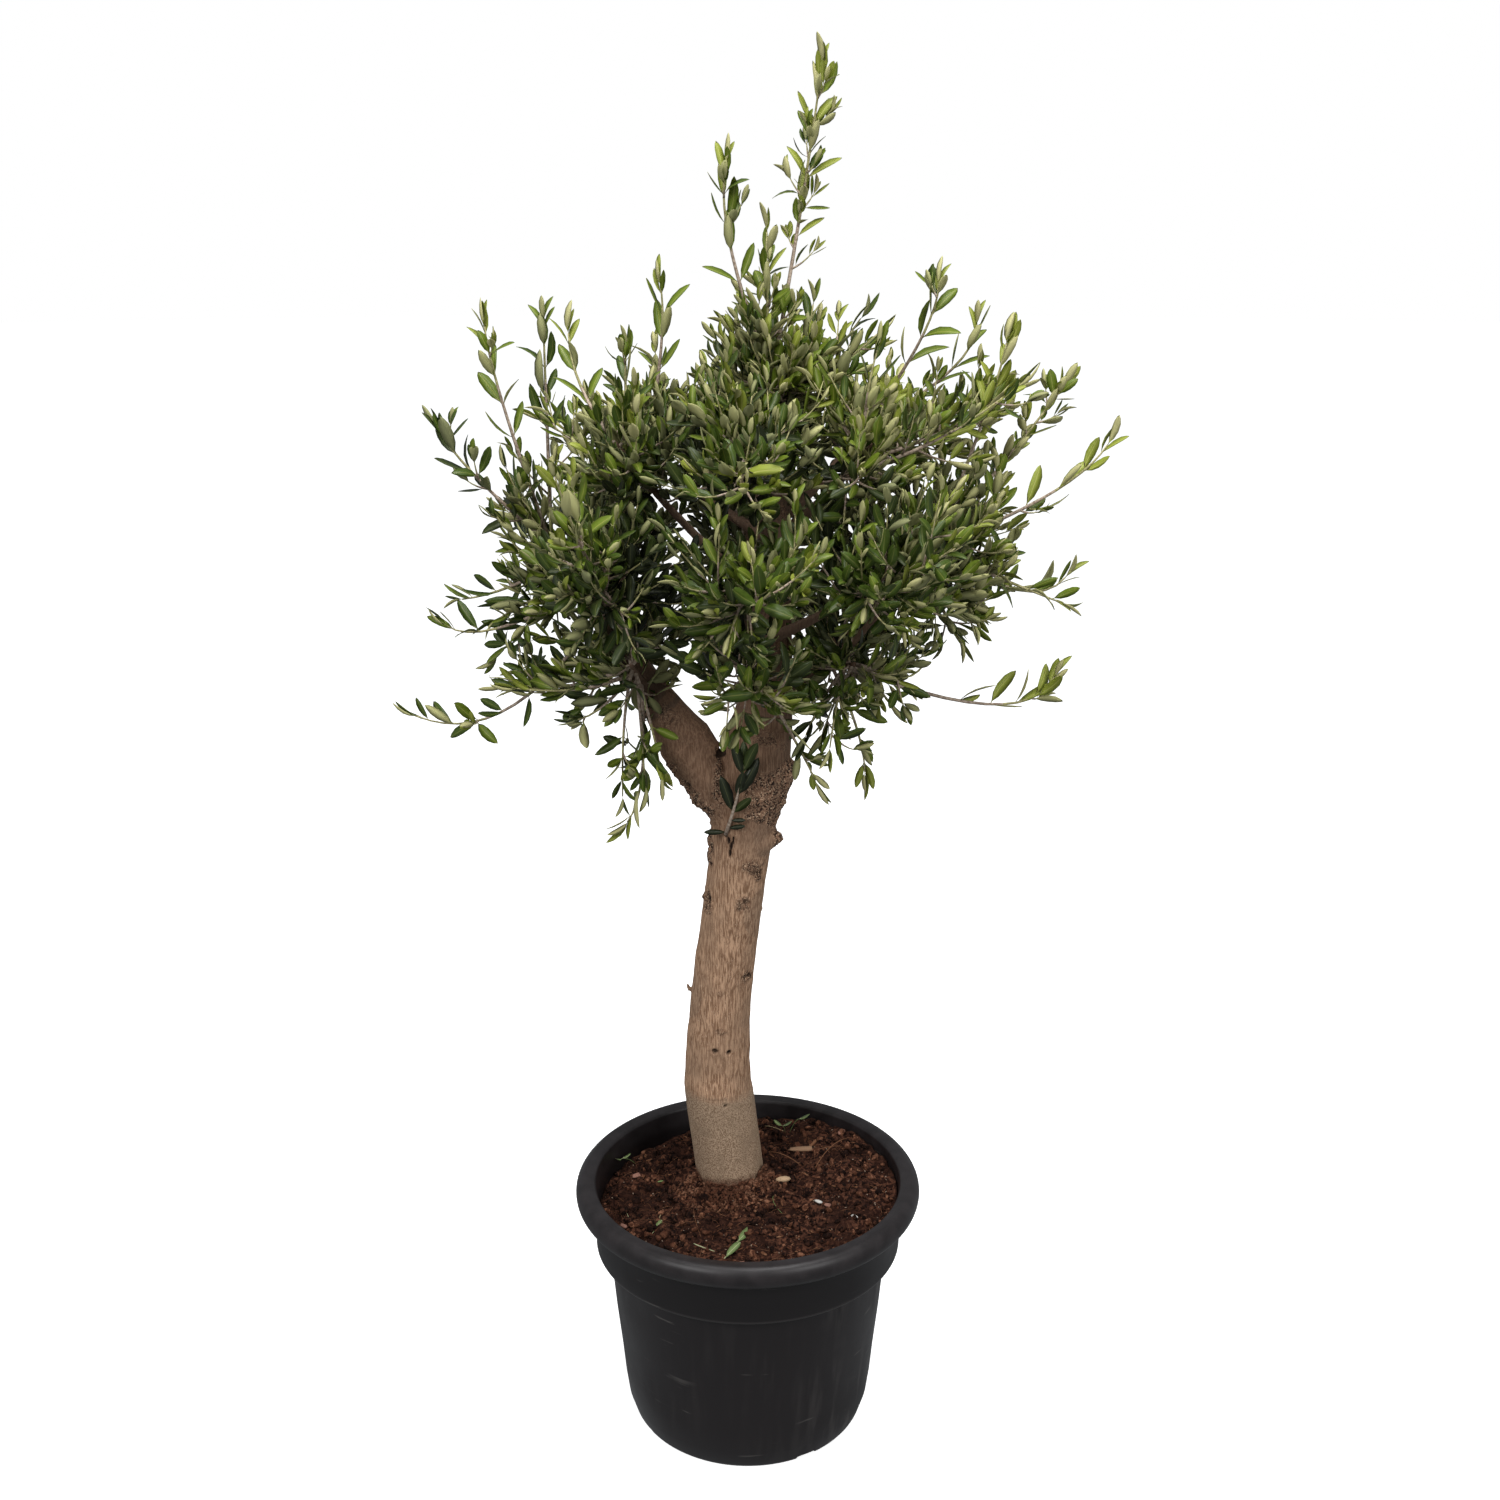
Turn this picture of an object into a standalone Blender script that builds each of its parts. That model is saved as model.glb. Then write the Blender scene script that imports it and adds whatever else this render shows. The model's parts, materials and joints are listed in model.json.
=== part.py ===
"""Potted standard olive tree in a black plastic nursery container.

Metres, +Z up. The origin is the middle of the pot's flat underside, and the front is -Y.
The trunk forks into two boughs. Three more leave the middle one, and side branches carry the rest
of the foliage. Each mass of foliage keeps to its own space: the points nearer to its heart than to
any other heart. A sprout stands on the front of the trunk.
"""

import math
import random

import bmesh
import bpy
from mathutils import Matrix, Vector
from mathutils.bvhtree import BVHTree

# Gap between solids that meet, and the room that leaves and twigs keep from limbs and neighbours
GAP = 0.0003
CLEARANCE = 0.0015

# Nursery container
POT_HEIGHT = 0.340
RIM_RADIUS = 0.225
COLLAR_RADIUS = 0.200
COLLAR_BOTTOM = 0.250
BODY_TOP_RADIUS = 0.1835
FOOT_RADIUS = 0.147
WALL = 0.0035
# Radius and height at each station of the tapering body, from its foot to the step under the collar
BODY_STATIONS = (
    (0.1540, 0.010),
    (0.1614, 0.030),
    (0.1755, 0.160),
    (BODY_TOP_RADIUS, 0.247),
)
COLLAR_DRAFT = 0.0015
POT_SEGMENTS = 36
POT_SHARP_EDGE = 35.0
DRAIN_SLOTS = 4
FIRST_SLOT_BEARING = -60.0
SLOT_WIDTH = 0.030
SLOT_HEIGHT = 0.009
SLOT_DEPTH = 0.036

# Soil
SOIL_LEVEL = 0.305
SOIL_EDGE_LEVEL = 0.298
SOIL_FLAT_RADIUS = 0.115

# Trunk: height, x, y and radius at each station, from the soil to the cut above the fork
TRUNK_STATIONS = (
    (SOIL_LEVEL + GAP, -0.0220, 0.0450, 0.0520),
    (0.322, -0.0243, 0.0440, 0.0478),
    (0.429, -0.0364, 0.0380, 0.0451),
    (0.471, -0.0392, 0.0350, 0.0430),
    (0.574, -0.0348, 0.0300, 0.0390),
    (0.683, -0.0226, 0.0230, 0.0375),
    (0.779, -0.0104, 0.0170, 0.0380),
    (0.844, -0.0020, 0.0120, 0.0420),
    (0.900, 0.0090, 0.0080, 0.0420),
    (0.955, 0.0180, 0.0050, 0.0375),
)
TRUNK_SIDES = 16
FORK_ARM_SIDES = 14
LIMB_SHARP_EDGE = 50.0
# The left arm of the fork: height, x, y and radius
FORK_ARM_STATIONS = (
    (0.790, -0.0150, 0.0120, 0.0300),
    (0.867, -0.0470, 0.0060, 0.0350),
    (0.935, -0.0780, 0.0000, 0.0335),
)
# Burls where old limbs were cut away: centre and radius
BURLS = (
    (Vector((0.0270, 0.0040, 0.8120)), 0.0180),
    (Vector((0.0420, 0.0020, 0.8950)), 0.0220),
)

# Crown body: a rounded box between an ellipsoid and a drum
CROWN_CENTRE = Vector((-0.005, 0.0, 1.200))
CROWN_RADII = Vector((0.310, 0.285, 0.220))
CROWN_SQUARENESS = 2.4

# The two boughs that go on from the cuts above the fork: mass that the bough carries, radii at its
# foot and end, and how far it keeps the way of its arm
FORK_BOUGHS = {
    "bough_left": ("middle_left", (0.0335, 0.0120), 0.110),
    "bough_middle": ("top", (0.0375, 0.0085), 0.200),
}
FORK_BOUGH_TAPER = 1.6
# Boughs that leave the middle bough: place along it (0 to 1), mass that the bough carries, radii
SIDE_BOUGHS = {
    "bough_right": (0.08, "middle_right", (0.0180, 0.0095)),
    "bough_back": (0.16, "middle_back", (0.0165, 0.0090)),
    "bough_front": (0.24, "middle_front", (0.0150, 0.0085)),
}
# Branches: mass that the branch carries, the bough that it leaves and the place along that bough
BRANCHES = {
    "middle_back_right": ("bough_back", 0.62),
    "middle_back_left": ("bough_left", 0.70),
    "middle_front_left": ("bough_left", 0.82),
    "middle_front_right": ("bough_front", 0.66),
    "upper_1": ("bough_middle", 0.86),
    "upper_2": ("bough_middle", 0.60),
    "upper_3": ("bough_middle", 0.77),
    "upper_4": ("bough_middle", 0.52),
    "upper_5": ("bough_middle", 0.68),
    "upper_6": ("bough_middle", 0.80),
    "lower_1": ("bough_right", 0.36),
    "lower_2": ("bough_back", 0.46),
    "lower_3": ("bough_left", 0.30),
    "lower_4": ("bough_left", 0.44),
    "lower_5": ("bough_front", 0.48),
    "lower_6": ("bough_right", 0.52),
}
BRANCH_RADII = (0.0080, 0.0052)
BOUGH_RISE = 0.10
# Share of the way to its mass's heart over which a limb is bare
BOUGH_BARE_SHARE = 0.70
BRANCH_BARE_SHARE = 0.50
# The leafy stem that goes on from a limb is a little thinner than the limb's end
STEM_FOOT_SHARE = 0.95
STEM_TIP_RADIUS = 0.0035
# Sides of each limb, and the stretches that its curve is made of
FORK_BOUGH_SIDES, FORK_BOUGH_STEPS = 10, 8
SIDE_BOUGH_SIDES, SIDE_BOUGH_STEPS = 8, 6
BRANCH_SIDES, BRANCH_STEPS = 6, 4
STEM_SIDES, STEM_STEPS = 5, 3

# Tiers of foliage: hearts in the tier, distance from the crown's axis, height, first bearing
COMPASS = ("right", "back_right", "back", "back_left", "left", "front_left", "front", "front_right")
MIDDLE_TIER = (8, 0.225, 1.170, 0.0)
UPPER_TIER = (6, 0.165, 1.300, 30.0)
LOWER_TIER = (6, 0.150, 1.045, 30.0)
TOP_HEART = Vector((0.030, 0.0, 1.375))

# Shoots end on the crown body's surface, set out evenly by the golden angle
SHOOT_TIPS = 104
TIP_REACH = (0.90, 1.06)
LOWEST_TIP_SLOPE = -0.86
GOLDEN_ANGLE = math.pi * (3.0 - math.sqrt(5.0))
# How far a shoot bows, as shares of its length: under its chord when it rises, over it when it
# droops, and to the sides
SHOOT_SAG = 0.16
SHOOT_DROOP_ARCH = 0.14
SHOOT_DROOPS_BELOW = 0.35
SHOOT_SWAY = 0.06
SHOOT_RADII = (0.0032, 0.0018)
SHOOT_FOOT_RANGE = (0.35, 0.98)
# The leaf at a shoot's end takes the last stretch up to the tip
END_LEAF_SHARE = 0.8
SHORTEST_TWIG_SHARE = 0.3
END_LEAF_FACES = Vector((0.3, 1.0, 0.2))

# Long shoots that stand out of the crown, by where their tips are
LONG_SHOOT_TIPS = {
    "leader": (0.085, 0.020, 1.728),
    "second_leader": (-0.016, -0.030, 1.618),
    "leader_side": (0.020, 0.030, 1.521),
    "high_left_a": (-0.107, 0.050, 1.485),
    "high_left_b": (-0.130, -0.050, 1.434),
    "high_left_c": (-0.198, 0.000, 1.448),
    "high_left_d": (-0.238, 0.060, 1.435),
    "high_left_e": (-0.294, -0.020, 1.438),
    "arm_left": (-0.350, -0.040, 1.325),
    "mid_left": (-0.378, 0.040, 1.098),
    "low_left": (-0.418, 0.000, 1.057),
    "long_left": (-0.438, 0.000, 0.986),
    "curl_left": (-0.234, -0.060, 0.980),
    "droop_left": (-0.163, -0.050, 0.832),
    "high_right_a": (0.090, -0.060, 1.450),
    "high_right_b": (0.153, -0.080, 1.435),
    "high_right_c": (0.213, 0.000, 1.489),
    "high_right_d": (0.259, 0.060, 1.449),
    "high_right_e": (0.292, -0.020, 1.419),
    "high_right_f": (0.374, 0.040, 1.359),
    "arm_right": (0.417, -0.030, 1.314),
    "mid_right": (0.394, 0.030, 1.167),
    "low_right": (0.378, -0.050, 1.108),
    "long_right": (0.374, 0.000, 1.045),
    "hook_right": (0.189, -0.020, 0.948),
    "droop_right": (0.142, 0.020, 0.856),
    "droop_middle": (0.088, -0.070, 0.883),
    "low_front": (0.020, -0.120, 0.960),
    "far_back_left": (-0.180, 0.330, 1.300),
    "far_back": (0.060, 0.365, 1.190),
    "far_back_right": (0.210, 0.290, 1.370),
    "near_front_left": (-0.200, -0.310, 1.330),
    "near_front": (0.040, -0.350, 1.210),
    "near_front_right": (0.230, -0.280, 1.240),
}

# Leaves stand for small sprays, so they are about twice life size. Each grows from a short joint.
LEAF_LENGTH = 0.100
LEAF_WIDTH = 0.039
LEAF_SIZES_TRIED = (1.0, 0.86, 0.72, 0.6, 0.5)
LEAF_THICKNESS = 0.0015
LEAF_WIDEST = 0.45
LEAF_SPACING = 0.040
LEAF_SPREAD = math.radians(48.0)
LEAF_SPREAD_RANGE = 0.2
LEAF_LENGTH_RANGE = (0.85, 1.08)
JOINT_LENGTH = 0.006
FIRST_PAIR_AT = 0.024
LAST_PAIR_BEFORE_END = 0.014
LEAF_FREE_FROM = 0.009

# Young shoot on the front of the trunk
SPROUT_FOOT = Vector((-0.0275, 0.012, 0.822))
SPROUT_TIP = Vector((-0.0180, -0.062, 0.880))
SPROUT_BOW = Vector((0.0, -0.030, -0.020))
SPROUT_SHARES = (0.0, 0.60, 0.66, 0.80, 0.86, 1.0)
SPROUT_RADII = (0.0034, 0.0026, 0.0025, 0.0022, 0.0021, 0.0018)
# Stretch of the sprout that each pair of leaves grows from, and the pair's turn about it
SPROUT_PAIRS = ((1, 0.3), (3, 1.8))
SPROUT_LEAF_SPREAD = 0.9
SPROUT_LEAF_LENGTH = 0.045

COLOURS = {
    "pot": ((0.020, 0.019, 0.021), 0.45),
    "soil": ((0.045, 0.026, 0.018), 0.95),
    "bark": ((0.245, 0.180, 0.125), 0.85),
    "leaf": ((0.120, 0.175, 0.060), 0.50),
}


def clear_scene():
    for item in list(bpy.data.objects):
        bpy.data.objects.remove(item, do_unlink=True)


def make_material(name):
    colour, roughness = COLOURS[name]
    material = bpy.data.materials.new(name)
    material.use_nodes = True
    shader = material.node_tree.nodes["Principled BSDF"]
    shader.inputs["Base Color"].default_value = (*colour, 1.0)
    shader.inputs["Roughness"].default_value = roughness
    shader.inputs["Metallic"].default_value = 0.0
    material.diffuse_color = (*colour, 1.0)
    return material


def add_object(name, bm, material):
    """Turn a bmesh into an object, with its faces pointing out."""
    bmesh.ops.recalc_face_normals(bm, faces=bm.faces)
    mesh = bpy.data.meshes.new(name)
    bm.to_mesh(mesh)
    bm.free()
    mesh.materials.append(material)
    item = bpy.data.objects.new(name, mesh)
    bpy.context.scene.collection.objects.link(item)
    return item


def smooth_shading(item, degrees):
    item.data.shade_smooth()
    item.data.set_sharp_from_angle(angle=math.radians(degrees))


def turned(profile, segments):
    """Spin an outline of (radius, height) points, from axis to axis, about Z."""
    bm = bmesh.new()
    points = [bm.verts.new((radius, 0.0, height)) for radius, height in profile]
    edges = [bm.edges.new(pair) for pair in zip(points, points[1:])]
    bmesh.ops.spin(bm, geom=points + edges, cent=(0, 0, 0), axis=(0, 0, 1), angle=2 * math.pi,
                   steps=segments, use_merge=True)
    bmesh.ops.remove_doubles(bm, verts=bm.verts, dist=1e-6)
    return bm


def keep_largest_body(bm):
    """Drop loose scraps and fill sealed hollows: only the body with the largest box stays."""
    bodies = []
    unseen = set(bm.verts)
    while unseen:
        stack = [unseen.pop()]
        body = set(stack)
        while stack:
            for edge in stack.pop().link_edges:
                for vertex in edge.verts:
                    if vertex in unseen:
                        unseen.discard(vertex)
                        body.add(vertex)
                        stack.append(vertex)
        bodies.append(body)

    def box_size(body):
        spans = [max(v.co[axis] for v in body) - min(v.co[axis] for v in body) for axis in range(3)]
        return spans[0] * spans[1] * spans[2]

    largest = max(bodies, key=box_size)
    for body in bodies:
        if body is not largest:
            bmesh.ops.delete(bm, geom=list(body), context="VERTS")


def combine(item, operands, operation, solver):
    """Apply one Boolean on a collection of operands, then remove them."""
    collection = bpy.data.collections.new(item.name + "_operands")
    bpy.context.scene.collection.children.link(collection)
    for operand in operands:
        for holder in list(operand.users_collection):
            holder.objects.unlink(operand)
        collection.objects.link(operand)
    boolean = item.modifiers.new(operation.title(), "BOOLEAN")
    boolean.operation = operation
    boolean.operand_type = "COLLECTION"
    boolean.collection = collection
    boolean.solver = solver
    evaluated = item.evaluated_get(bpy.context.evaluated_depsgraph_get())
    mesh = bpy.data.meshes.new_from_object(evaluated)
    item.modifiers.remove(boolean)
    make_triangles(mesh, item.data)
    bpy.data.meshes.remove(mesh)
    for operand in operands:
        bpy.data.objects.remove(operand, do_unlink=True)
    bpy.data.collections.remove(collection)


def make_triangles(source, target):
    """Clean a Boolean's result and cut it into triangles, in the first way that stays closed."""
    for straighten, method in ((True, "BEAUTY"), (True, "EAR_CLIP"), (False, "BEAUTY"),
                               (False, "EAR_CLIP")):
        bm = bmesh.new()
        bm.from_mesh(source)
        keep_largest_body(bm)
        if straighten:
            in_line = [vertex for vertex in bm.verts if len(vertex.link_edges) == 2]
            bmesh.ops.dissolve_verts(bm, verts=in_line)
        bmesh.ops.triangulate(bm, faces=bm.faces, ngon_method=method)
        closed = all(len(edge.link_faces) == 2 for edge in bm.edges)
        bm.to_mesh(target)
        bm.free()
        if closed:
            return


def build_pot(material):
    outer = (
        (0.0, 0.0),
        (FOOT_RADIUS, 0.0),
        *BODY_STATIONS,
        (COLLAR_RADIUS - COLLAR_DRAFT, COLLAR_BOTTOM),
        (COLLAR_RADIUS, 0.305),
        (RIM_RADIUS - 0.014, 0.310),
        (RIM_RADIUS - 0.002, 0.317),
        (RIM_RADIUS, 0.326),
        (RIM_RADIUS - 0.004, 0.336),
        (RIM_RADIUS - 0.014, POT_HEIGHT),
        (COLLAR_RADIUS + 0.002, 0.338),
    )
    item = add_object("pot", turned(outer + tuple(reversed(pot_inside())), POT_SEGMENTS), material)
    cutters = []
    for index in range(DRAIN_SLOTS):
        bearing = math.radians(FIRST_SLOT_BEARING + 360.0 * index / DRAIN_SLOTS)
        place = Matrix.Rotation(bearing, 4, "Z") @ Matrix.Translation((FOOT_RADIUS, 0.0, 0.0))
        size = Matrix.Diagonal((SLOT_DEPTH, SLOT_WIDTH, 2 * SLOT_HEIGHT, 1.0))
        bm = bmesh.new()
        bmesh.ops.create_cube(bm, size=1.0, matrix=place @ size)
        cutters.append(add_object(f"slot_{index}", bm, material))
    combine(item, cutters, "DIFFERENCE", "EXACT")
    smooth_shading(item, POT_SHARP_EDGE)


def pot_inside():
    """The pot's inner outline, from the middle of its floor up to the lip."""
    return (
        (0.0, WALL),
        (FOOT_RADIUS - WALL, WALL),
        *((radius - WALL, height + WALL / 2) for radius, height in BODY_STATIONS),
        (COLLAR_RADIUS - COLLAR_DRAFT - WALL, COLLAR_BOTTOM + WALL),
        (COLLAR_RADIUS - WALL, 0.310),
        (COLLAR_RADIUS - 0.0005, 0.334),
    )


def build_soil(material):
    inset = GAP + 0.0001
    wall = [(max(radius - inset, 0.0), height + inset) for radius, height in pot_inside()[:-2]]
    edge = (COLLAR_RADIUS - WALL - 2 * inset, SOIL_EDGE_LEVEL)
    top = [(SOIL_FLAT_RADIUS, SOIL_LEVEL), (0.0, SOIL_LEVEL)]
    item = add_object("soil", turned(wall + [edge] + top, POT_SEGMENTS), material)
    smooth_shading(item, POT_SHARP_EDGE)


def curve_point(start, control, end, share):
    """A point on a quadratic curve."""
    rest = 1.0 - share
    return start * rest * rest + control * 2.0 * rest * share + end * share * share


def curve_points(start, control, end, count, first=0.0, last=1.0):
    shares = [first + (last - first) * index / count for index in range(count + 1)]
    return [curve_point(start, control, end, share) for share in shares]


def tapered(radii, count, power=1.0):
    """Radii that fall from the first to the second value along a limb."""
    foot, tip = radii
    return [tip + (foot - tip) * (1.0 - index / count) ** power for index in range(count + 1)]


def limb(points, radii, sides, start_direction=None, end_direction=None, grow=0.0):
    """A round limb through the points: an end face, extruded from ring to ring."""
    return limb_with_sides(points, radii, sides, start_direction, end_direction, grow)[0]


def limb_with_sides(points, radii, sides, start_direction=None, end_direction=None, grow=0.0):
    """The limb, the side faces of each of its stretches, and its end face."""
    count = len(points)
    directions = []
    for index in range(count):
        ahead = points[min(index + 1, count - 1)] - points[max(index - 1, 0)]
        directions.append(ahead.normalized())
    directions[0] = start_direction or directions[0]
    directions[-1] = end_direction or directions[-1]
    turn = Vector((0, 0, 1)).rotation_difference(directions[0])
    place = ring_place(points[0], turn, radii[0] + grow)
    bm = bmesh.new()
    bmesh.ops.create_circle(bm, cap_ends=True, segments=sides, radius=1.0, matrix=place)
    face = bm.faces[:][0]
    stretches = []
    for index in range(1, count):
        if index == 1:
            made = bmesh.ops.extrude_face_region(bm, geom=[face])["geom"]
            face = next(part for part in made if isinstance(part, bmesh.types.BMFace))
        else:
            face = bmesh.ops.extrude_discrete_faces(bm, faces=[face])["faces"][0]
        turn = directions[index - 1].rotation_difference(directions[index]) @ turn
        onward = ring_place(points[index], turn, radii[index] + grow)
        bmesh.ops.transform(bm, matrix=onward @ place.inverted(), verts=face.verts)
        stretches.append([side for edge in face.edges for side in edge.link_faces if side is not face])
        place = onward
    return bm, stretches, face


def ring_place(point, turn, radius):
    return Matrix.LocRotScale(point, turn, Vector((radius, radius, radius)))


def trunk_parts(grow=0.0):
    """The trunk's stem with its middle arm, the left arm of the fork and the burls."""
    stem = [Vector((x, y, z)) for z, x, y, radius in TRUNK_STATIONS]
    radii = [station[3] for station in TRUNK_STATIONS]
    upright = Vector((0, 0, 1))
    parts = [limb(stem, radii, TRUNK_SIDES, start_direction=upright, grow=grow)]
    arm = [Vector((x, y, z)) for z, x, y, radius in FORK_ARM_STATIONS]
    arm_radii = [station[3] for station in FORK_ARM_STATIONS]
    parts.append(limb(arm, arm_radii, FORK_ARM_SIDES, grow=grow))
    for centre, radius in BURLS:
        bm = bmesh.new()
        bmesh.ops.create_icosphere(bm, subdivisions=2, radius=radius + grow,
                                   matrix=Matrix.Translation(centre))
        parts.append(bm)
    return parts


def arm_end(stations):
    """Where an arm of the trunk is cut, and the way that it points there."""
    last, before = [Vector((x, y, z)) for z, x, y, radius in (stations[-1], stations[-2])]
    return last, (last - before).normalized()


class Limb:
    """One tapering bough or branch: a quadratic curve with its radii."""

    def __init__(self, start, control, end, radii, sides, steps, power=1.0):
        self.start, self.control, self.end = start, control, end
        self.radii, self.sides, self.steps, self.power = radii, sides, steps, power

    def point(self, share):
        return curve_point(self.start, self.control, self.end, share)

    def solid(self, grow=0.0):
        points = curve_points(self.start, self.control, self.end, self.steps)
        radii = tapered(self.radii, self.steps, self.power)
        return limb(points, radii, self.sides, (self.control - self.start).normalized(),
                    (self.end - self.control).normalized(), grow)


def hearts():
    """The middle of each mass of foliage, by name."""
    places = {}
    for tier, (count, distance, height, first) in (("middle", MIDDLE_TIER), ("upper", UPPER_TIER),
                                                    ("lower", LOWER_TIER)):
        for index in range(count):
            bearing = math.radians(first + 360.0 * index / count)
            label = COMPASS[index] if count == len(COMPASS) else str(index + 1)
            squash = CROWN_RADII.y / CROWN_RADII.x
            places[f"{tier}_{label}"] = Vector((
                CROWN_CENTRE.x + distance * math.cos(bearing),
                distance * squash * math.sin(bearing),
                height,
            ))
    places["top"] = TOP_HEART
    return places


def in_space(point, name, places, margin=CLEARANCE):
    """Whether a point is nearer to its own heart than to any other, by the margin."""
    own = places[name]
    for other_name, other in places.items():
        if other_name == name:
            continue
        across = (other - own).normalized()
        if (point - (own + other) / 2).dot(across) > -margin:
            return False
    return True


def rising_control(start, end, lift):
    """The control point of a limb that sets out level and then rises."""
    control = (start + end) / 2
    control.z -= lift * (end - start).length
    return control


def split_limb(whole, bare_share):
    """Split the way from a limb's foot to its mass's heart into bare bough and leafy stem."""
    middle = whole.point(bare_share)
    bare_control = whole.start.lerp(whole.control, bare_share)
    bare = Limb(whole.start, bare_control, middle, whole.radii, whole.sides, whole.steps, whole.power)
    onward = (middle - bare_control).normalized()
    stem_start = middle + onward * GAP
    leafy_control = whole.control.lerp(whole.end, bare_share)
    stem_control = stem_start + onward * (leafy_control - middle).length
    stem_radii = (whole.radii[1] * STEM_FOOT_SHARE, STEM_TIP_RADIUS)
    stem = Limb(stem_start, stem_control, whole.end, stem_radii, STEM_SIDES, STEM_STEPS)
    return bare, stem


def build_limbs(places):
    """Every bough and branch, and the stem that goes on from each into its mass."""
    limbs = {}
    stems = {}
    for name, stations in (("bough_left", FORK_ARM_STATIONS), ("bough_middle", TRUNK_STATIONS)):
        mass, radii, reach = FORK_BOUGHS[name]
        cut, onward = arm_end(stations)
        start = cut + onward * GAP
        whole = Limb(start, start + onward * reach, places[mass], radii, FORK_BOUGH_SIDES,
                     FORK_BOUGH_STEPS, FORK_BOUGH_TAPER)
        limbs[name], stems[mass] = split_limb(whole, BOUGH_BARE_SHARE)
    for name, (share, mass, radii) in SIDE_BOUGHS.items():
        start = limbs["bough_middle"].point(share)
        control = rising_control(start, places[mass], BOUGH_RISE)
        whole = Limb(start, control, places[mass], radii, SIDE_BOUGH_SIDES, SIDE_BOUGH_STEPS)
        limbs[name], stems[mass] = split_limb(whole, BOUGH_BARE_SHARE)
    for mass, (bough, share) in BRANCHES.items():
        start = limbs[bough].point(share)
        control = rising_control(start, places[mass], BOUGH_RISE)
        whole = Limb(start, control, places[mass], BRANCH_RADII, BRANCH_SIDES, BRANCH_STEPS)
        limbs["branch_" + mass], stems[mass] = split_limb(whole, BRANCH_BARE_SHARE)
    return limbs, stems


def crown_surface(direction):
    """Distance from the crown's centre to its surface along a direction."""
    total = sum(abs(direction[axis] / CROWN_RADII[axis]) ** CROWN_SQUARENESS for axis in range(3))
    return total ** (-1.0 / CROWN_SQUARENESS)


def shoot_tips(places):
    """Tips of all shoots, by the mass whose space holds them."""
    tips = {name: [] for name in places}
    rng = random.Random("tips")
    for index in range(SHOOT_TIPS):
        slope = 1.0 - 2.0 * (index + 0.5) / SHOOT_TIPS
        reach = rng.uniform(*TIP_REACH)
        if slope < LOWEST_TIP_SLOPE:
            continue
        across = math.sqrt(1.0 - slope * slope)
        bearing = index * GOLDEN_ANGLE
        direction = Vector((across * math.cos(bearing), across * math.sin(bearing), slope))
        tip = CROWN_CENTRE + direction * crown_surface(direction) * reach
        add_tip(tips, places, f"shoot_{index}", tip)
    for name, place in LONG_SHOOT_TIPS.items():
        add_tip(tips, places, name, Vector(place))
    return tips


def add_tip(tips, places, name, tip):
    nearest = min(places, key=lambda mass: (places[mass] - tip).length)
    tips[nearest].append((name, tip))


class Shoot:
    """A shoot from its mass's stem to its tip: out and then up, or over and then down."""

    def __init__(self, stem, name, tip):
        rng = random.Random(name)
        self.name = name
        self.start = stem.point(rng.uniform(*SHOOT_FOOT_RANGE))
        self.tip = tip
        self.length = (tip - self.start).length
        self.control = (self.start + tip) / 2
        if tip.z > self.start.z - SHOOT_DROOPS_BELOW * self.length:
            self.control.z -= SHOOT_SAG * self.length
        else:
            self.control.z += SHOOT_DROOP_ARCH * self.length
        sway = Vector((rng.uniform(-1, 1), rng.uniform(-1, 1), 0.0))
        self.control += sway * SHOOT_SWAY * self.length
        end_leaf = END_LEAF_SHARE * LEAF_LENGTH / self.length
        self.end = max(SHORTEST_TWIG_SHARE, 1.0 - end_leaf)

    def point(self, share):
        return curve_point(self.start, self.control, self.tip, share)

    def direction(self, share):
        return (self.point(share + 0.01) - self.point(share - 0.01)).normalized()

    def joints(self):
        """Shares of the shoot's length at which pairs of leaves sit."""
        first = FIRST_PAIR_AT / self.length
        last = self.end - LAST_PAIR_BEFORE_END / self.length
        if last < first:
            return []
        count = 1 + round((last - first) * self.length / LEAF_SPACING)
        return [first + (last - first) * index / max(count - 1, 1) for index in range(count)]

    def twig(self):
        """The three-sided twig, the side faces of each joint, and its end face."""
        half_joint = JOINT_LENGTH / self.length / 2
        shares = [0.0]
        for joint in self.joints():
            shares += [joint - half_joint, joint + half_joint]
        shares.append(self.end)
        foot, tip = SHOOT_RADII
        points = [self.point(share) for share in shares]
        radii = [foot + (tip - foot) * share / self.end for share in shares]
        bm, stretches, end_face = limb_with_sides(points, radii, 3)
        return bm, stretches[1:-1:2], end_face


def leaf_frame(direction, towards):
    """Side and upper normal of a leaf that points one way and faces another as far as it can."""
    normal = (towards - direction * towards.dot(direction)).normalized()
    return direction.cross(normal).normalized(), normal


def leaf_corners(foot, direction, towards, length):
    """The four corners of a leaf where it is widest, and its tip."""
    side, normal = leaf_frame(direction, towards)
    middle = foot + direction * length * LEAF_WIDEST
    half_width = side * LEAF_WIDTH / 2 * length / LEAF_LENGTH
    half_thickness = normal * LEAF_THICKNESS / 2
    corners = {(across, up): middle + half_width * across + half_thickness * up
               for across in (-1, 1) for up in (-1, 1)}
    return corners, foot + direction * length


def leaf_tree(foot, corners, tip):
    """The leaf's upper face, for finding what it touches."""
    points = [foot, corners[(-1, 1)], tip, corners[(1, 1)], corners[(-1, -1)], corners[(1, -1)]]
    return BVHTree.FromPolygons(points, [(0, 1, 2, 3), (0, 4, 2, 5)])


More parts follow.
